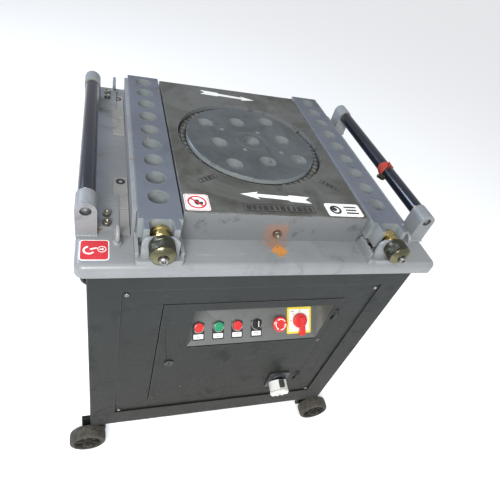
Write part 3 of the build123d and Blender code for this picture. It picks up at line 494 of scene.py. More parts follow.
def lathe(bm, profile, place, steps=64, wave=None):
    """Turn (radius, height) pairs about the placement's Z; wave(radius, height, angle) bends the radius."""
    rings = []
    for radius, height in profile:
        if radius < MERGE:
            rings.append([bm.verts.new(place @ Vector((0, 0, height)))])
            continue
        ring = []
        for i in range(steps):
            angle = TURN * i / steps
            r = wave(radius, height, angle) if wave else radius
            ring.append(bm.verts.new(place @ Vector((r * math.cos(angle), r * math.sin(angle), height))))
        rings.append(ring)
    for a, b in zip(rings, rings[1:]):
        for i in range(steps):
            j = (i + 1) % steps
            if len(a) == 1 and len(b) == 1:
                break
            if len(a) == 1:
                bm.faces.new((a[0], b[j], b[i]))
            elif len(b) == 1:
                bm.faces.new((a[i], a[j], b[0]))
            else:
                bm.faces.new((a[i], a[j], b[j], b[i]))
    return rings


def prism(bm, outline, low, high, place=Matrix.Identity(4)):
    """Closed prism from a flat outline."""
    bottom = [bm.verts.new(place @ Vector((x, y, low))) for x, y in outline]
    top = [bm.verts.new(place @ Vector((x, y, high))) for x, y in outline]
    bm.faces.new(list(reversed(bottom)))
    bm.faces.new(top)
    for i in range(len(outline)):
        j = (i + 1) % len(outline)
        bm.faces.new((bottom[i], bottom[j], top[j], top[i]))


def sized(profile, across, up):
    """Fractions turned into sizes."""
    return [(x * across, y * up) for x, y in profile]


def fluted(depth, count, above):
    """A lathe wave that cuts grooves where the profile is wider than a radius."""
    return lambda r, h, a: r - (depth * (0.5 + 0.5 * math.cos(count * a)) if r > above else 0)


def rounded(width, height, radius, steps=6):
    """Outline of a rectangle with round corners."""
    points = []
    for quarter, (sx, sy) in enumerate(((1, 1), (-1, 1), (-1, -1), (1, -1))):
        for i in range(steps + 1):
            angle = math.pi / 2 * (quarter + i / steps)
            points.append((sx * (width / 2 - radius) + radius * math.cos(angle),
                           sy * (height / 2 - radius) + radius * math.sin(angle)))
    return points


def circle(radius, steps=40):
    """Outline of a circle."""
    return [(radius * math.cos(TURN * i / steps), radius * math.sin(TURN * i / steps)) for i in range(steps)]


def band(bm, outer, inner, low, high, place=Matrix.Identity(4)):
    """Closed ring between two outlines with the same number of points."""
    loops = []
    for outline, z in ((outer, low), (outer, high), (inner, high), (inner, low)):
        loops.append([bm.verts.new(place @ Vector((x, y, z))) for x, y in outline])
    for a, b in zip(loops, loops[1:] + loops[:1]):
        for i in range(len(outer)):
            j = (i + 1) % len(outer)
            bm.faces.new((a[i], a[j], b[j], b[i]))


def arc_strip(bm, radius, width, start, stop, low, high, place, steps=18):
    """Curved strip on a flat face."""
    outer = [((radius + width / 2) * math.cos(a), (radius + width / 2) * math.sin(a))
             for a in (start + (stop - start) * i / steps for i in range(steps + 1))]
    inner = [((radius - width / 2) * math.cos(a), (radius - width / 2) * math.sin(a))
             for a in (stop + (start - stop) * i / steps for i in range(steps + 1))]
    prism(bm, outer + inner, low, high, place)


def pipe(bm, points, radius, steps=12, closed=False, wobble=0.0):
    """Round bar along points; wobble varies its thickness as a weld bead does."""
    count = len(points)
    rings = []
    for i, point in enumerate(points):
        before = points[i - 1] if (i or closed) else point
        after = points[(i + 1) % count] if (i < count - 1 or closed) else point
        place = along(point, Vector(after) - Vector(before), (0.31, 0.17, 0.93))
        thick = radius * (1 + wobble * math.sin(i * 2.3))
        rings.append([bm.verts.new(place @ Vector((thick * math.cos(TURN * k / steps),
                                                   thick * math.sin(TURN * k / steps), 0)))
                      for k in range(steps)])
    pairs = list(zip(rings, rings[1:]))
    if closed:
        pairs.append((rings[-1], rings[0]))
    else:
        bm.faces.new(list(reversed(rings[0])))
        bm.faces.new(rings[-1])
    for a, b in pairs:
        for k in range(steps):
            m = (k + 1) % steps
            bm.faces.new((a[k], a[m], b[m], b[k]))


def thread(bm, place, radius, depth, pitch, span, steps=24):
    """Screw thread as one continuous helix."""
    turns = int(span / pitch)
    rows = []
    for j in range((turns + 1) * steps + 1):
        angle = TURN * j / steps
        height = pitch * j / steps
        root = Vector(((radius - depth) * math.cos(angle), (radius - depth) * math.sin(angle), height))
        crest = Vector((radius * math.cos(angle), radius * math.sin(angle), height + pitch / 2))
        rows.append((bm.verts.new(place @ root), bm.verts.new(place @ crest)))
    for j in range(turns * steps):
        a, b = rows[j], rows[j + 1]
        c, d = rows[j + steps], rows[j + steps + 1]
        bm.faces.new((a[0], b[0], b[1], a[1]))
        bm.faces.new((a[1], b[1], d[0], c[0]))


def piece(name, bm, finish, body, replaces=(), bevel=0.0):
    """Turn a bmesh into a piece of the machine."""
    bmesh.ops.remove_doubles(bm, verts=bm.verts, dist=MERGE)
    bmesh.ops.recalc_face_normals(bm, faces=bm.faces)
    mesh = bpy.data.meshes.new(name)
    bm.to_mesh(mesh)
    bm.free()
    mesh.materials.append(MATERIALS[finish])
    obj = bpy.data.objects.new(name, mesh)
    bpy.context.scene.collection.objects.link(obj)
    smooth_edges(obj, bevel)
    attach(obj, body)
    if replaces:
        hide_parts(*replaces)
    return obj


def smooth_edges(obj, bevel):
    """Round sharp edges, or keep them crisp, with smooth shading between."""
    for face in obj.data.polygons:
        face.use_smooth = True
    if bevel:
        rounding = obj.modifiers.new("rounding", "BEVEL")
        rounding.width = bevel
        rounding.segments = 2
        rounding.limit_method = "ANGLE"
        rounding.angle_limit = math.radians(SMOOTH_ANGLE)
        rounding.harden_normals = True
    obj.data.set_sharp_from_angle(angle=math.radians(SMOOTH_ANGLE))
    flat = obj.modifiers.new("flat faces", "WEIGHTED_NORMAL")
    flat.keep_sharp = not bevel
    flat.weight = 100


def dress(node, finish, bevel=0.0):
    """Give a carried-over part its finish and rounded edges."""
    obj = frame["nodes"][node]
    obj.data.materials.clear()
    obj.data.materials.append(MATERIALS[finish])
    weld = obj.modifiers.new("join", "WELD")
    weld.merge_threshold = WELD_GAP
    smooth_edges(obj, bevel)


def middle(node):
    """Centre of a part's box."""
    low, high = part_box(node)
    return (low + high) / 2


# ---------------------------------------------------------------- operators


class BENDER_OT_materials(bpy.types.Operator):
    """Make every finish from the colour settings"""

    bl_idname = "bender.materials"
    bl_label = "Finishes"

    def execute(self, context):
        MATERIALS.update(make_materials())
        return {"FINISHED"}


class BENDER_OT_bodywork(bpy.types.Operator):
    """Dress the cabinet, pan, table, rails and inner machinery"""

    bl_idname = "bender.bodywork"
    bl_label = "Bodywork and machinery"

    def execute(self, context):
        edge = sizes().edge
        sheet = sizes().sheet_edge
        plan = (
            ("cabinet", edge, "chassis motor_plate"),
            ("cabinet", sheet, "cabinet_shell control_door"),
            ("cabinet", 0, "front_panel service_covers"),
            ("recess", 0, "control_recess"),
            ("steel", 0, "panel_screws stop_dog shaft_bearings"),
            ("black", 0, "cable_gland contact_blocks door_latch"),
            ("pan", 0, "table_pan"),
            ("table", edge, "work_table"),
            ("zinc", 0, "cap_screws hex_bolts"),
            ("bracket", edge, "rail_channels adjuster_brackets roller_brackets"),
            ("bracket", 0, "roller_shafts"),
            ("casting", 0, "motor_housing input_pulley motor_pulley"),
            ("casting", edge, "gearbox_housing gearbox_lid"),
            ("white", 0, "switchgear"),
            ("belt", 0, "drive_belts"),
            ("disc", edge, "turntable_disc"),
            ("ring", 0, "angle_ring"),
            ("gear", 0, "main_shaft bull_gear lay_shaft lay_gear input_shaft motor_rotor"),
            ("rail", edge, "pin_rail_left pin_rail_right"),
        )
        for finish, bevel, nodes in plan:
            for node in nodes.split():
                dress(node, finish, bevel)
        return {"FINISHED"}


class BENDER_OT_packing_strips(bpy.types.Operator):
    """Bare packing plates between rails and rollers, with socket screws sunk in their ends"""

    bl_idname = "bender.packing_strips"
    bl_label = "Packing strips"

    def execute(self, context):
        low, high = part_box("packing_strips")
        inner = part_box("rail_channels")[1].x + 0.001
        outer = high.x + 0.01
        plates = bmesh.new()
        screws = bmesh.new()
        for side in (-1, 1):
            for start, stop, hole in ((-0.265, -0.196, 0), (-0.194, -0.09, -0.106), (0.085, 0.163, 0),
                                      (0.165, 0.28, 0.264)):
                centre_x = side * (inner + outer) / 2
                place = shift(centre_x, SHIFT_Y + (start + stop) / 2, low.z)
                prism(plates, rounded(outer - inner, stop - start, 0.001, 3), 0.0, high.z - low.z + 0.001, place)
                if hole:
                    spot = along((centre_x, SHIFT_Y + hole, high.z + 0.001), (0, 0, 1))
                    lathe(screws, [(0.0095, 0), (0.0095, 0.0003), (0.0082, 0.0003), (0.0078, 0.0001), (0.004, 0.0001),
                                   (0.0038, -0.002), (0, -0.002)], spot, 40)
        piece("packing_plates", plates, "strip", "frame", ["packing_strips"], 0.0004)
        piece("packing_screws", screws, "black", "frame")
        return {"FINISHED"}


class BENDER_OT_wheels(bpy.types.Operator):
    """Four solid-tyred wheels with spoked centres"""

    bl_idname = "bender.wheels"
    bl_label = "Wheels"

    def execute(self, context):
        for corner, row, side in (("fl", "front", "left"), ("fr", "front", "right"),
                                  ("rl", "rear", "left"), ("rr", "rear", "right")):
            node = f"wheel_{row}_{side}"
            low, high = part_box(node)
            centre = (low + high) / 2
            radius = (high.z - low.z) / 2
            half = (high.y - low.y) / 2
            outward = -1 if row == "front" else 1
            place = along(centre, (0, outward, 0))
            bm = bmesh.new()
            profile = [(0.77, -1), (0.9, -1), (0.965, -0.86), (0.992, -0.62), (1, -0.2), (1, 0.2), (0.992, 0.62),
                       (0.965, 0.86), (0.9, 1), (0.77, 1), (0.765, 0.9), (0.765, -0.9), (0.77, -1)]
            lathe(bm, sized(profile, radius, half), place, 72,
                  lambda r, h, a: r * (1 + 0.004 * math.sin(5 * a + h * 90) - 0.002))
            piece(f"tyre_{corner}", bm, "tyre", f"wheel_{corner}", [node])
            bm = bmesh.new()
            rim = [(0.77, -0.92), (0.77, 0.92), (0.7, 0.92), (0.66, 0.55), (0.66, -0.55), (0.7, -0.92), (0.77, -0.92)]
            lathe(bm, sized(rim, radius, half), place, 64)
            boss = sized([(0.27, -1), (0.3, -0.9), (0.3, 0.9), (0.27, 1)], radius, half)
            lathe(bm, [(AXLE_BORE, -half), *boss, (AXLE_BORE, half), (AXLE_BORE, -half)], place, 40)
            web = [(0.28, -1), (0.67, -1), (0.67, 1), (0.28, 1), (0.28, -1)]
            lathe(bm, sized(web, radius, 0.003), place, 48)
            spokes = sizes().wheel_spokes
            for i in range(spokes):
                turn = spin(TURN * (i + 0.5) / spokes)
                outline = sized([(0.27, -0.005), (0.68, -0.003), (0.68, 0.003), (0.27, 0.005)], radius, 1)
                prism(bm, outline, -half * 0.72, half * 0.72, place @ turn)
            piece(f"hub_{corner}", bm, "hub", f"wheel_{corner}", (), 0.0006)
            bm = bmesh.new()
            face = along(centre + Vector((0, outward * (half + 0.0006), 0)), (0, outward, 0))
            prism(bm, circle(NUT_RADIUS, 6), 0, 0.0052, face)
            lathe(bm, [(0.0072, 0.005), (0.0072, 0.0078), (0.0058, 0.0088), (0, 0.0088)], face, 24)
            piece(f"axle_nut_{corner}", bm, "hub", "frame", (), 0.0005)
        return {"FINISHED"}


class BENDER_OT_adjusters(bpy.types.Operator):
    """Threaded adjusting screws with bronze collars and knurled hand knobs"""

    bl_idname = "bender.adjusters"
    bl_label = "Rail adjusters"

    def execute(self, context):
        for side in ("left", "right"):
            body = f"{side}_screw"
            axis = Vector(JOINTS[f"{side}_screw_turn"]["pos_m"])
            low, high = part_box(f"adjuster_screw_{side}")
            knob_low, knob_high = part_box(f"adjuster_knob_{side}")
            radius = (knob_high.x - knob_low.x) / 2
            place = along((axis.x, knob_high.y, axis.z), (0, -1, 0))
            depth = knob_high.y - knob_low.y
            flutes = sizes().knob_flutes

            def knurl(r, h, a, radius=radius, depth=depth, flutes=flutes):
                inside = 0.38 * depth < h < 0.78 * depth and r > radius * 0.9
                return r - (0.0005 * (0.5 + 0.5 * math.cos(flutes * a)) if inside else 0)

            bm = bmesh.new()
            rim = [(0.9, 0), (0.97, 0.04), (1, 0.09), (1, 0.3), (0.955, 0.33), (0.955, 0.37), (0.99, 0.4),
                   (0.99, 0.76), (0.972, 0.79), (1, 0.82), (0.995, 0.9), (0.955, 0.955)]
            lathe(bm, [(SCREW_BORE, 0), *sized(rim, radius, depth)], place, flutes * 4, knurl)
            piece(f"knob_{side}", bm, "knob", body, [f"adjuster_knob_{side}"])
            bm = bmesh.new()
            dome = [(0.9, 0), (0.76, 0.0022), (0.55, 0.0042), (0.42, 0.005), (0.36, 0.0044), (0.33, 0.003)]
            lathe(bm, [(radius * 0.955, depth * 0.955), *((radius * r, depth + rise) for r, rise in dome),
                       (0.0061, depth + 0.003)], place, 96)
            piece(f"knob_face_{side}", bm, "knob_cap", body)
            bm = bmesh.new()
            nose = knob_low.y - low.y
            tip = along((axis.x, knob_low.y, axis.z), (0, -1, 0))
            lathe(bm, [(SCREW_RADIUS, -0.002), (SCREW_RADIUS, 0.0045), (0.0076, 0.0052), (0.008, 0.006),
                       (0.008, nose - 0.0016), (0.0066, nose - 0.0002), (0.0038, nose - 0.0002), (0.0036, nose - 0.004),
                       (0, nose - 0.004)], tip, 40)
            piece(f"screw_nose_{side}", bm, "steel", body)
            bm = bmesh.new()
            collar_end = COLLAR_BACK - (knob_high.y - SHIFT_Y)
            collar_start = collar_end - 0.0258
            core = SCREW_RADIUS - sizes().thread_depth
            span = high.y - knob_high.y
            shank = along((axis.x, knob_high.y, axis.z), (0, 1, 0))
            lathe(bm, [(0, span - 0.0002), (core, span - 0.0002), (core, -0.006), (0, -0.006)], shank, 32)
            lathe(bm, [(core, -0.004), (0.0059, -0.004), (0.0059, collar_end), (core, collar_end)], shank, 40)
            start = along((axis.x, knob_high.y + collar_end, axis.z), (0, 1, 0))
            thread(bm, start, SCREW_RADIUS, sizes().thread_depth, sizes().thread_pitch,
                   span - collar_end - 0.004, 28)
            piece(f"screw_{side}", bm, "steel", body, [f"adjuster_screw_{side}"])
            bm = bmesh.new()
            steps = [(SCREW_BORE, 0), (0.0155, 0), (0.0168, 0.0012), (0.0168, 0.0085), (0.015, 0.0095),
                     (0.0142, 0.011), (0.0142, 0.015), (0.015, 0.0165), (0.0168, 0.0175)]
            lathe(bm, [*((r, collar_start + rise) for r, rise in steps), (0.0168, collar_end - 0.0014),
                       (0.0156, collar_end), (SCREW_BORE, collar_end)], shank, 72)
            piece(f"collar_{side}", bm, "bronze", body)
        return {"FINISHED"}


class BENDER_OT_rollers(bpy.types.Operator):
    """Black feed rollers with bronze bushes, and the ribbon and clip tied to one"""

    bl_idname = "bender.rollers"
    bl_label = "Feed rollers"

    def execute(self, context):
        for side in ("left", "right"):
            body = f"{side}_roller"
            low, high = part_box(f"roller_{side}")
            centre = (low + high) / 2
            radius = (high.x - low.x) / 2
            span = high.y - low.y
            place = along((centre.x, low.y, centre.z), (0, 1, 0))
            bm = bmesh.new()
            rings = [(0.0132, 0.003), (radius - 0.0012, 0.003), (radius, 0.0042)]
            rings += [(radius - 0.00008 * (i % 2), 0.0042 + (span - 0.0084) * i / 24) for i in range(1, 24)]
            rings += [(radius, span - 0.0042), (radius - 0.0012, span - 0.003), (0.0132, span - 0.003)]
            lathe(bm, rings, place, 72)
            piece(f"roller_tube_{side}", bm, "roller", body, [f"roller_{side}"])
            bm = bmesh.new()
            for start, step in ((0.0, 1), (span, -1)):
                lathe(bm, [(0.0102, start), (0.0146, start), (0.015, start + step * 0.0005),
                           (0.015, start + step * 0.0028), (0.0131, start + step * 0.0031),
                           (0.0131, start + step * 0.02), (0.0102, start + step * 0.02), (0.0102, start)], place, 48)
            piece(f"roller_bush_{side}", bm, "bronze", body)

        low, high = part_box("roller_right")
        centre = (low + high) / 2
        radius = (high.x - low.x) / 2
        wrap_y = centre.y - 0.058
        bm = bmesh.new()
        for k, lean in enumerate((-0.22, 0.16, 0.3)):
            place = along((centre.x, wrap_y + 0.004 * k, centre.z), (lean, 1, lean * 0.5))
            outer = circle(radius + 0.0016 + 0.0003 * k, 48)
            inner = circle(radius + 0.0004 + 0.0003 * k, 48)
            band(bm, outer, inner, -0.0065, 0.0055, place)
        for lean, reach in ((-0.5, 0.026), (0.35, 0.021)):
            path = [Vector((centre.x - 0.002 + lean * reach * t * 0.6, wrap_y + lean * 0.03 * t,
                            centre.z + radius + 0.002 + 0.007 * math.sin(math.pi * t) - 0.006 * t * t))
                    for t in (i / 8 for i in range(9))]
            left = [bm.verts.new(p + Vector((0.004, 0.004, 0))) for p in path]
            right = [bm.verts.new(p - Vector((0.004, 0.004, 0))) for p in path]
            for i in range(8):
                bm.faces.new((left[i], left[i + 1], right[i + 1], right[i]))
        ribbon = piece("marker_ribbon", bm, "ribbon", "right_roller")
        thick = ribbon.modifiers.new("thickness", "SOLIDIFY")
        thick.thickness = 0.0005
        bm = bmesh.new()
        clip = along((centre.x - radius - 0.0075, wrap_y - 0.03, centre.z - 0.004), (0.15, 0.9, -0.4))
        lathe(bm, [(0, 0), (0.0056, 0), (0.0066, 0.001), (0.0066, 0.0125), (0.0058, 0.0135), (0.0045, 0.0138),
                   (0.0045, 0.02), (0.0055, 0.0204), (0.0055, 0.0262), (0.0048, 0.027), (0, 0.027)], clip, 72,
              fluted(0.0004, 18, 0.006))
        piece("ribbon_clip", bm, "knob", "right_roller")
        return {"FINISHED"}


class BENDER_OT_lifting_eyes(bpy.types.Operator):
    """Forged lifting eyes with collars"""

    bl_idname = "bender.lifting_eyes"
    bl_label = "Lifting eyes"

    def execute(self, context):
        low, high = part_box("lifting_eyes")
        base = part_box("table_pan")[1].z
        bm = bmesh.new()
        for x in (low.x + 0.009, high.x - 0.009):
            for y in (low.y + 0.016, high.y - 0.016):
                foot = along((x, y, base), (0, 0, 1))
                lathe(bm, [(0, 0), (0.009, 0), (0.0094, 0.0008), (0.0094, 0.005), (0.0085, 0.0066), (0.0062, 0.008),
                           (0.0052, 0.01), (0.0044, 0.0125), (0, 0.0125)], foot, 40)
                ring = [(x, y + across, base + 0.024 + up) for across, up in circle(EYE_RADIUS, 48)]
                pipe(bm, ring, EYE_BAR, 16, closed=True)
        piece("lifting_eye_set", bm, "bracket", "frame", ["lifting_eyes"])
        return {"FINISHED"}


def slope_place(x, below=0.0):
    """Placement on the sloping control plate: X right, Y up the slope, Z outward."""
    plate = middle("isolator_plate")
    normal = Vector((0, -DIAGONAL, DIAGONAL))
    up = Vector((0, DIAGONAL, DIAGONAL))
    origin = Vector((x, plate.y, plate.z)) - normal * 0.0015 - up * below
    return placed(origin, Vector((1, 0, 0)), up, normal)


class BENDER_OT_controls(bpy.types.Operator):
    """Push buttons, selector, emergency stop and main switch on the sloping plate"""

    bl_idname = "bender.controls"
    bl_label = "Door controls"

    def execute(self, context):
        row = 0.004
        spots = {name: middle(name).x for name in
                 ("stop_button", "start_button", "jog_button", "selector_knob", "emergency_stop")}
        legends = bmesh.new()
        strips = bmesh.new()
        marks = bmesh.new()
        bezels = bmesh.new()
        for name, x in spots.items():
            place = slope_place(x, row)
            if name != "emergency_stop":
                down = place @ shift(0, -0.011)
                prism(legends, rounded(0.03, 0.043, 0.0025), 0.0001, 0.0009, down)
                low = place @ shift(0, -0.0235)
                prism(strips, rounded(0.0245, 0.0115, 0.0012), 0.0008, 0.0014, low)
                for i, width in enumerate((0.015, 0.01)):
                    line = place @ shift(0, -0.0216 - 0.0038 * i)
                    prism(marks, rounded(width, 0.001, 0.0004, 3), 0.0013, 0.00155, line)
            lathe(bezels, [(0.0119, 0.0002), (0.0145, 0.0002), (0.0148, 0.0012), (0.0147, 0.0036), (0.0138, 0.0056),
                           (0.0128, 0.0062), (0.0121, 0.0058), (0.0119, 0.004), (0.0119, 0.0002)], place, 64)
        piece("legend_plates", legends, "black", "door", (), 0.0002)
        piece("legend_strips", strips, "label_white", "door")
        piece("legend_marks", marks, "label_black", "door")
        piece("button_bezels", bezels, "chrome", "door", ["control_bezels"])

        for name, body, finish, slot in (("stop_button", "stop", "red", "red_plastic"),
                                         ("start_button", "start", "green", "green_plastic"),
                                         ("jog_button", "jog", "red", "red_plastic")):
            bm = bmesh.new()
            lathe(bm, [(0.0086, -0.016), (0.0086, 0.005), (0.0114, 0.0052), (0.0116, 0.0058), (0.0116, 0.0078),
                       (0.0111, 0.0086), (0.0095, 0.009), (0.006, 0.0092), (0, 0.0093)],
                  slope_place(spots[name], row), 56)
            piece(f"{name}_cap", bm, finish, body, [name])

        place = slope_place(spots["selector_knob"], row)
        bm = bmesh.new()
        lathe(bm, [(0.0086, -0.016), (0.0086, 0.005), (0.0115, 0.0052), (0.0117, 0.006), (0.0117, 0.0084),
                   (0.0108, 0.0096), (0, 0.0098)], place, 56)
        grip = [(0.0026, -0.012), (0.0042, -0.0105), (0.0036, 0.0), (0.0042, 0.0105), (0.0026, 0.012),
                (-0.0026, 0.012), (-0.0042, 0.0105), (-0.0036, 0.0), (-0.0042, -0.0105), (-0.0026, -0.012)]
        prism(bm, grip, 0.009, 0.0188, place)
        piece("selector_grip", bm, "black", "selector", ["selector_knob"], 0.0005)
        bm = bmesh.new()
        prism(bm, rounded(0.0022, 0.015, 0.0009, 4), 0.0187, 0.0191, place @ shift(0, 0.003))
        piece("selector_line", bm, "label_white", "selector")

        place = slope_place(spots["emergency_stop"], row)
        bm = bmesh.new()
        lathe(bm, [(0.0086, -0.012), (0.0086, 0.0105), (0.0125, 0.0122), (0.0168, 0.015), (0.019, 0.0166),
                   (0.0199, 0.0184), (0.02, 0.0205), (0.0196, 0.0226), (0.018, 0.0243), (0.015, 0.0252),
                   (0.0105, 0.0255), (0.0095, 0.0249), (0.0088, 0.0247), (0, 0.0249)], place, 72)
        piece("emergency_head", bm, "red", "emergency", ["emergency_stop"])
        bm = bmesh.new()
        for k in range(3):
            start = TURN * k / 3 + 0.5
            arc_strip(bm, 0.0135, 0.0022, start, start + 1.45, 0.0251, 0.02575, place)
            head = place @ spin(start + 1.45)
            prism(bm, [(0.0108, -0.0004), (0.0162, -0.0004), (0.0133, 0.0044)], 0.0251, 0.02575, head)
        piece("emergency_arrows", bm, "label_white", "emergency")

        plate = slope_place(middle("isolator_plate").x, 0)
        bm = bmesh.new()
        outer = rounded(0.07, 0.07, 0.004, 8)
        inner = sized(outer, 0.229, 0.229)
        band(bm, outer, inner, 0.0002, 0.003, plate)
        piece("isolator_border", bm, "yellow", "door", ["isolator_plate"], 0.0005)
        bm = bmesh.new()
        outer = rounded(0.0585, 0.0585, 0.0025, 8)
        inner = sized(outer, 0.28, 0.28)
        band(bm, outer, inner, 0.0029, 0.0034, plate)
        piece("isolator_face", bm, "label_white", "door")
        bm = bmesh.new()
        for angle in (90, 135, 180):
            turn = spin(math.radians(angle))
            prism(bm, rounded(0.006, 0.0012, 0.0005, 3), 0.0033, 0.0037, plate @ turn @ shift(0.0245, 0))
        prism(bm, rounded(0.01, 0.0014, 0.0005, 3), 0.0033, 0.0037, plate @ shift(-0.02, 0.0245))
        piece("isolator_marks", bm, "label_black", "door")
        bm = bmesh.new()
        lathe(bm, [(0.0076, -0.001), (0.0076, 0.0036), (0.0192, 0.0038), (0.02, 0.0048), (0.0198, 0.0112),
                   (0.0188, 0.013), (0.0168, 0.0137), (0, 0.0139)], plate, 72,
              fluted(0.0006, 20, 0.0195))
        lever = [(-0.006, -0.036), (0.0, -0.0386), (0.006, -0.0376), (0.0098, -0.035), (0.0112, -0.03),
                 (0.0098, -0.006), (0.008, 0.008), (0.0045, 0.0108), (-0.0045, 0.0108), (-0.0066, 0.007),
                 (-0.004, -0.008), (-0.0058, -0.029)]
        prism(bm, lever, 0.0136, 0.0198, plate)
        piece("isolator_lever", bm, "red", "isolator", ["isolator_handle"], 0.0009)
        return {"FINISHED"}


class BENDER_OT_pedal_socket(bpy.types.Operator):
    """Pedal socket with a dark flange and a white lobed screw cap"""

    bl_idname = "bender.pedal_socket"
    bl_label = "Pedal socket"

    def execute(self, context):
        low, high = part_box("pedal_socket")
        centre_x = (low.x + high.x) / 2
        hinge = Vector(JOINTS["lid_open"]["pos_m"])
        outward = Vector((0, -math.cos(SOCKET_LEAN), -math.sin(SOCKET_LEAN)))
        up = Vector((0, -math.sin(SOCKET_LEAN), math.cos(SOCKET_LEAN)))
        root = hinge - outward * 0.034 - up * 0.034
        root.x = centre_x
        place = placed(root, Vector((-1, 0, 0)), up, outward)
        bm = bmesh.new()
        plate_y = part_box("door_latch")[0].y + 0.003
        flat = along((centre_x, plate_y, root.z + 0.002), (0, -1, 0), (-1, 0, 0))
        prism(bm, rounded(0.064, 0.076, 0.007, 8), 0.0, 0.0045, flat)
        lathe(bm, [(0.029, 0.004), (0.028, 0.0075), (0.0262, 0.0085)], flat, 48)
        prism(bm, [(-0.007, 0.0255), (0.007, 0.0255), (0.007, 0.0345), (-0.007, 0.0345)], 0.006, 0.0275, place)
        piece("socket_flange", bm, "slate", "door", ["pedal_socket"], 0.0006)
        bm = bmesh.new()
        lathe(bm, [(0.0235, 0.0035), (0.0268, 0.0038), (0.0268, 0.029), (0.0262, 0.0318), (0.0224, 0.0318),
                   (0.022, 0.029), (0.022, 0.013), (0, 0.013)], place, 64)
        for k in range(5):
            angle = math.radians(-60 + 75 * k)
            pin = place @ shift(0.0125 * math.cos(angle), 0.0125 * math.sin(angle), 0.013)
            lathe(bm, [(0.0022, 0), (0.0022, 0.013), (0, 0.0142)], pin, 16)
        piece("socket_barrel", bm, "white", "door")
        bm = bmesh.new()

        def lobes(r, h, a):
            share = max(0.0, math.cos(8 * a)) ** 0.6
            return r * (0.93 + 0.07 * share) if r > 0.02 else r

        lathe(bm, [(0, 0.0323), (0.0262, 0.0323), (0.0288, 0.033), (0.029, 0.0345), (0.029, 0.0375),
                   (0.0276, 0.0398), (0.0225, 0.0404), (0.021, 0.0392), (0.0192, 0.039), (0.0178, 0.0402),
                   (0, 0.041)], place, 128, lobes)
        for k in range(4):
            rib = place @ spin(math.pi * k / 4)
            prism(bm, rounded(0.05, 0.003, 0.0012, 4), 0.0395, 0.0424, rib)
        prism(bm, rounded(0.012, 0.01, 0.002, 4), 0.0325, 0.0372, place @ shift(0, 0.0295))
        piece("socket_cap", bm, "white", "lid", ["socket_lid"], 0.0004)
        return {"FINISHED"}


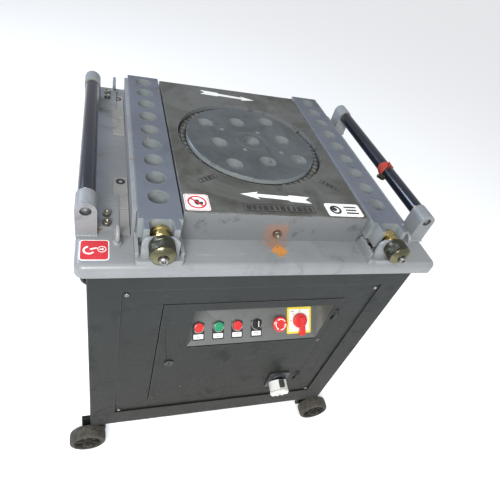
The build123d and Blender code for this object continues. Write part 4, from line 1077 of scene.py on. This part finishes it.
class BENDER_OT_labels(bpy.types.Operator):
    """Blank labels, direction arrows and plates on the table and pan"""

    bl_idname = "bender.labels"
    bl_label = "Labels and plates"

    def execute(self, context):
        thick = sizes().sticker
        low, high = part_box("work_table")
        pan_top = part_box("table_pan")[1].z
        axis = Vector(JOINTS["turntable_turn"]["pos_m"])
        top = shift(0, 0, high.z)

        white = bmesh.new()
        for tail, tip in (((0.078, -0.221), (-0.075, -0.21)), ((-0.09, 0.234), (0.062, 0.222))):
            start = Vector((tail[0], axis.y + tail[1], high.z))
            end = Vector((tip[0], axis.y + tip[1], high.z))
            span = (end - start).length
            place = along(start, (0, 0, 1), end - start)
            outline = [(0, 0.0105), (0.012, 0), (0, -0.0105), (0.046, -0.0105), (0.052, -0.0062),
                       (span - 0.034, -0.005), (span - 0.038, -0.012), (span, 0), (span - 0.038, 0.012),
                       (span - 0.034, 0.005), (0.052, 0.0062), (0.046, 0.0105)]
            prism(white, outline, 0.0, thick, place)
        signs = (
            (top @ shift(-0.169, axis.y - 0.243), 0.048, 0.048),
            (top @ shift(0.147, axis.y - 0.2485), 0.084, 0.041),
        )
        for place, width, height in signs:
            prism(white, rounded(width, height, 0.006), 0.0, thick, place)
        pan_place = shift(-0.3495, axis.y - 0.3025, pan_top)
        prism(white, rounded(0.05, 0.05, 0.006), 0.0, thick, pan_place)
        piece("labels_white", white, "label_white", "frame")

        red = bmesh.new()
        prism(red, rounded(0.046, 0.046, 0.005), thick, thick * 2, pan_place)
        sign = signs[0][0]
        band(red, circle(0.0185, 48), circle(0.015, 48), thick, thick * 2, sign)
        prism(red, rounded(0.033, 0.0034, 0.0005, 3), thick, thick * 2.2, sign @ spin(math.radians(135)))
        band(red, rounded(0.0445, 0.0445, 0.0045), rounded(0.043, 0.043, 0.004), thick, thick * 2, sign)
        piece("labels_red", red, "label_red", "frame")

        black = bmesh.new()
        prism(black, rounded(0.01, 0.015, 0.0035, 5), thick, thick * 1.8, sign @ spin(0.25))
        prism(black, rounded(0.0065, 0.01, 0.0025, 5), thick, thick * 1.8,
              sign @ shift(0.0078, -0.003) @ spin(-0.5))
        sign = signs[1][0]
        band(black, circle(0.0135, 40), circle(0.0085, 40), thick, thick * 2, sign @ shift(-0.02, 0))
        prism(black, circle(0.006, 32), thick, thick * 2, sign @ shift(-0.0225, 0.0015))
        for i, width in enumerate((0.03, 0.026, 0.03)):
            prism(black, rounded(width, 0.0042, 0.0008, 3), thick, thick * 2,
                  sign @ shift(0.018, 0.0095 - 0.0095 * i))
        piece("labels_black", black, "label_black", "frame")

        glyph = bmesh.new()
        arc_strip(glyph, 0.0085, 0.0034, math.radians(100), math.radians(330), thick * 2, thick * 3,
                  pan_place @ shift(-0.009, -0.001))
        prism(glyph, rounded(0.012, 0.0032, 0.0006, 3), thick * 2, thick * 3,
              pan_place @ shift(-0.0015, 0.003) @ spin(0.3))
        band(glyph, circle(0.0075, 32), circle(0.0062, 32), thick * 2, thick * 3,
             pan_place @ shift(0.0125, 0.0015))
        prism(glyph, [(-0.004, -0.0012), (0.0005, -0.0012), (0.0005, -0.0032), (0.0045, 0), (0.0005, 0.0032),
                      (0.0005, 0.0012), (-0.004, 0.0012)], thick * 2, thick * 3,
              pan_place @ shift(0.0125, 0.0015))
        piece("label_glyph", glyph, "label_white", "frame")

        plates = bmesh.new()
        fields = bmesh.new()
        for x, y, width, height, turn in ((-0.001, -0.2515, 0.154, 0.021, 0.0), (-0.135, -0.164, 0.046, 0.0125, 0.52),
                                          (0.1475, -0.1635, 0.048, 0.0125, -0.66)):
            place = top @ shift(x, axis.y + y) @ spin(turn)
            band(plates, rounded(width, height, 0.002), rounded(width - 0.0024, height - 0.0024, 0.0012),
                 0.0, 0.0006, place)
            prism(fields, rounded(width - 0.0026, height - 0.0026, 0.0012), 0.0, 0.00025, place)
            count = max(3, round(width / 0.013))
            cell = (width - 0.008) / count
            for i in range(count):
                share = 0.6 + 0.25 * math.sin(2.1 * i + width * 90)
                middle_x = (i + 0.5) * cell - cell * count / 2
                block = place @ shift(middle_x, 0)
                prism(plates, rounded(cell * share, height * 0.6, 0.0008, 3), 0.0, 0.0006, block)
        piece("plate_borders", plates, "label_black", "frame")
        piece("plate_fields", fields, "table", "frame")

        stain = bmesh.new()
        place = shift(0.004, low.y - 0.03, pan_top) @ spin(math.pi / 4 + 0.05)
        prism(stain, [(-0.0135, -0.0135), (0.012, -0.0142), (0.014, 0.013), (-0.0128, 0.0138)], 0.0, 0.00025, place)
        piece("peeled_label", stain, "stain", "frame")
        return {"FINISHED"}


class BENDER_OT_welds(bpy.types.Operator):
    """Weld beads along the feet of the roller brackets"""

    bl_idname = "bender.welds"
    bl_label = "Welds"

    def execute(self, context):
        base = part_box("table_pan")[1].z
        low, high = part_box("roller_brackets")
        bm = bmesh.new()
        reach = 0.037
        posts = ((low.y, low.y + 0.043), (high.y - 0.043 - 0.04, high.y - 0.04))
        for side in (-1, 1):
            outer = side * high.x
            inner = side * (high.x - reach)
            for start, stop in posts:
                for x0, y0, x1, y1 in ((outer, start, inner, start), (inner, stop, outer, stop)):
                    count = 22
                    path = [Vector((x0 + (x1 - x0) * i / count, y0 + (y1 - y0) * i / count, base + 0.0006))
                            for i in range(count + 1)]
                    pipe(bm, path, sizes().weld, 8, wobble=0.16)
        piece("bracket_welds", bm, "bracket", "frame")
        return {"FINISHED"}


class BENDER_OT_stage(bpy.types.Operator):
    """Pale floor, soft lights and the camera"""

    bl_idname = "bender.stage"
    bl_label = "Stage"

    def execute(self, context):
        scene = context.scene
        bm = bmesh.new()
        bm.faces.new([bm.verts.new((x, y, -FLOOR_DROP)) for x, y in circle(FLOOR_REACH, 64)])
        mesh = bpy.data.meshes.new("floor")
        bm.to_mesh(mesh)
        bm.free()
        floor = bpy.data.objects.new("floor", mesh)
        scene.collection.objects.link(floor)
        shade = Shade("floor_matt")
        tone = shade.blend(shade.noise(3, 4), colours().floor, toned(colours().floor, 0.985))
        mesh.materials.append(shade.finish(tone, 0.9, [(shade.noise(400, 2), 0.00002)]))
        shade.bsdf.inputs["Emission Color"].default_value = (1.0, 1.0, 1.0, 1)
        shade.bsdf.inputs["Emission Strength"].default_value = FLOOR_GLOW
        world = bpy.data.worlds.new("studio")
        world.use_nodes = True
        backdrop = world.node_tree.nodes["Background"]
        backdrop.inputs["Color"].default_value = (0.93, 0.96, 1.0, 1)
        backdrop.inputs["Strength"].default_value = WORLD_LIGHT
        scene.world = world
        for name, spot, aim, size, power, tint in (
            ("key", (-0.8, -1.7, 2.1), (-0.1, 0, 0.8), 0.9, 60, (1.0, 0.99, 0.97)),
            ("sky", (-2.1, 1.5, 2.3), (-0.2, 0, 0.85), 1.1, 44, (0.62, 0.76, 1.0)),
            ("side", (2.6, -0.4, 2.2), (0, 0, 0.7), 1.4, 7, (1.0, 0.97, 0.94)),
        ):
            data = bpy.data.lights.new(name, "AREA")
            data.size = size
            data.energy = power
            data.color = tint
            lamp = bpy.data.objects.new(name, data)
            scene.collection.objects.link(lamp)
            lamp.location = spot
            lamp.rotation_mode = "QUATERNION"
            lamp.rotation_quaternion = (Vector(aim) - Vector(spot)).to_track_quat("-Z", "Y")
        scene.view_settings.view_transform = "Standard"
        data = bpy.data.cameras.new("camera")
        data.lens = LENS
        data.sensor_width = SENSOR
        data.shift_x = 0.008
        data.shift_y = -0.0142
        camera = bpy.data.objects.new("camera", data)
        scene.collection.objects.link(camera)
        camera.matrix_world = shift(*CAMERA_PLACE) @ Matrix(CAMERA_AXES).to_4x4()
        scene.camera = camera
        return {"FINISHED"}


class BENDER_PT_panel(bpy.types.Panel):
    """Settings and build steps for the bender"""

    bl_idname = "BENDER_PT_panel"
    bl_label = "Rebar Bender"
    bl_space_type = "VIEW_3D"
    bl_region_type = "UI"
    bl_category = "Bender"

    def draw(self, context):
        layout = self.layout
        for group in (context.scene.bender_sizes, context.scene.bender_colours):
            box = layout.box()
            for name in group.__annotations__:
                box.prop(group, name)
        for step in STEPS:
            layout.operator(step.bl_idname)


STEPS = (
    BENDER_OT_materials, BENDER_OT_bodywork, BENDER_OT_packing_strips, BENDER_OT_wheels,
    BENDER_OT_adjusters, BENDER_OT_rollers, BENDER_OT_lifting_eyes, BENDER_OT_controls,
    BENDER_OT_pedal_socket, BENDER_OT_labels, BENDER_OT_welds, BENDER_OT_stage,
)


def register():
    """Register settings, operators and panel."""
    for item in (BenderColours, BenderSizes, *STEPS, BENDER_PT_panel):
        bpy.utils.register_class(item)
    bpy.types.Scene.bender_colours = bpy.props.PointerProperty(type=BenderColours)
    bpy.types.Scene.bender_sizes = bpy.props.PointerProperty(type=BenderSizes)


def unregister():
    """Remove everything that register added."""
    del bpy.types.Scene.bender_sizes
    del bpy.types.Scene.bender_colours
    for item in reversed((BenderColours, BenderSizes, *STEPS, BENDER_PT_panel)):
        bpy.utils.unregister_class(item)


def main():
    """Build the whole machine."""
    register()
    for step in STEPS:
        group, name = step.bl_idname.split(".")
        getattr(getattr(bpy.ops, group), name)()


if __name__ == "__main__":
    main()
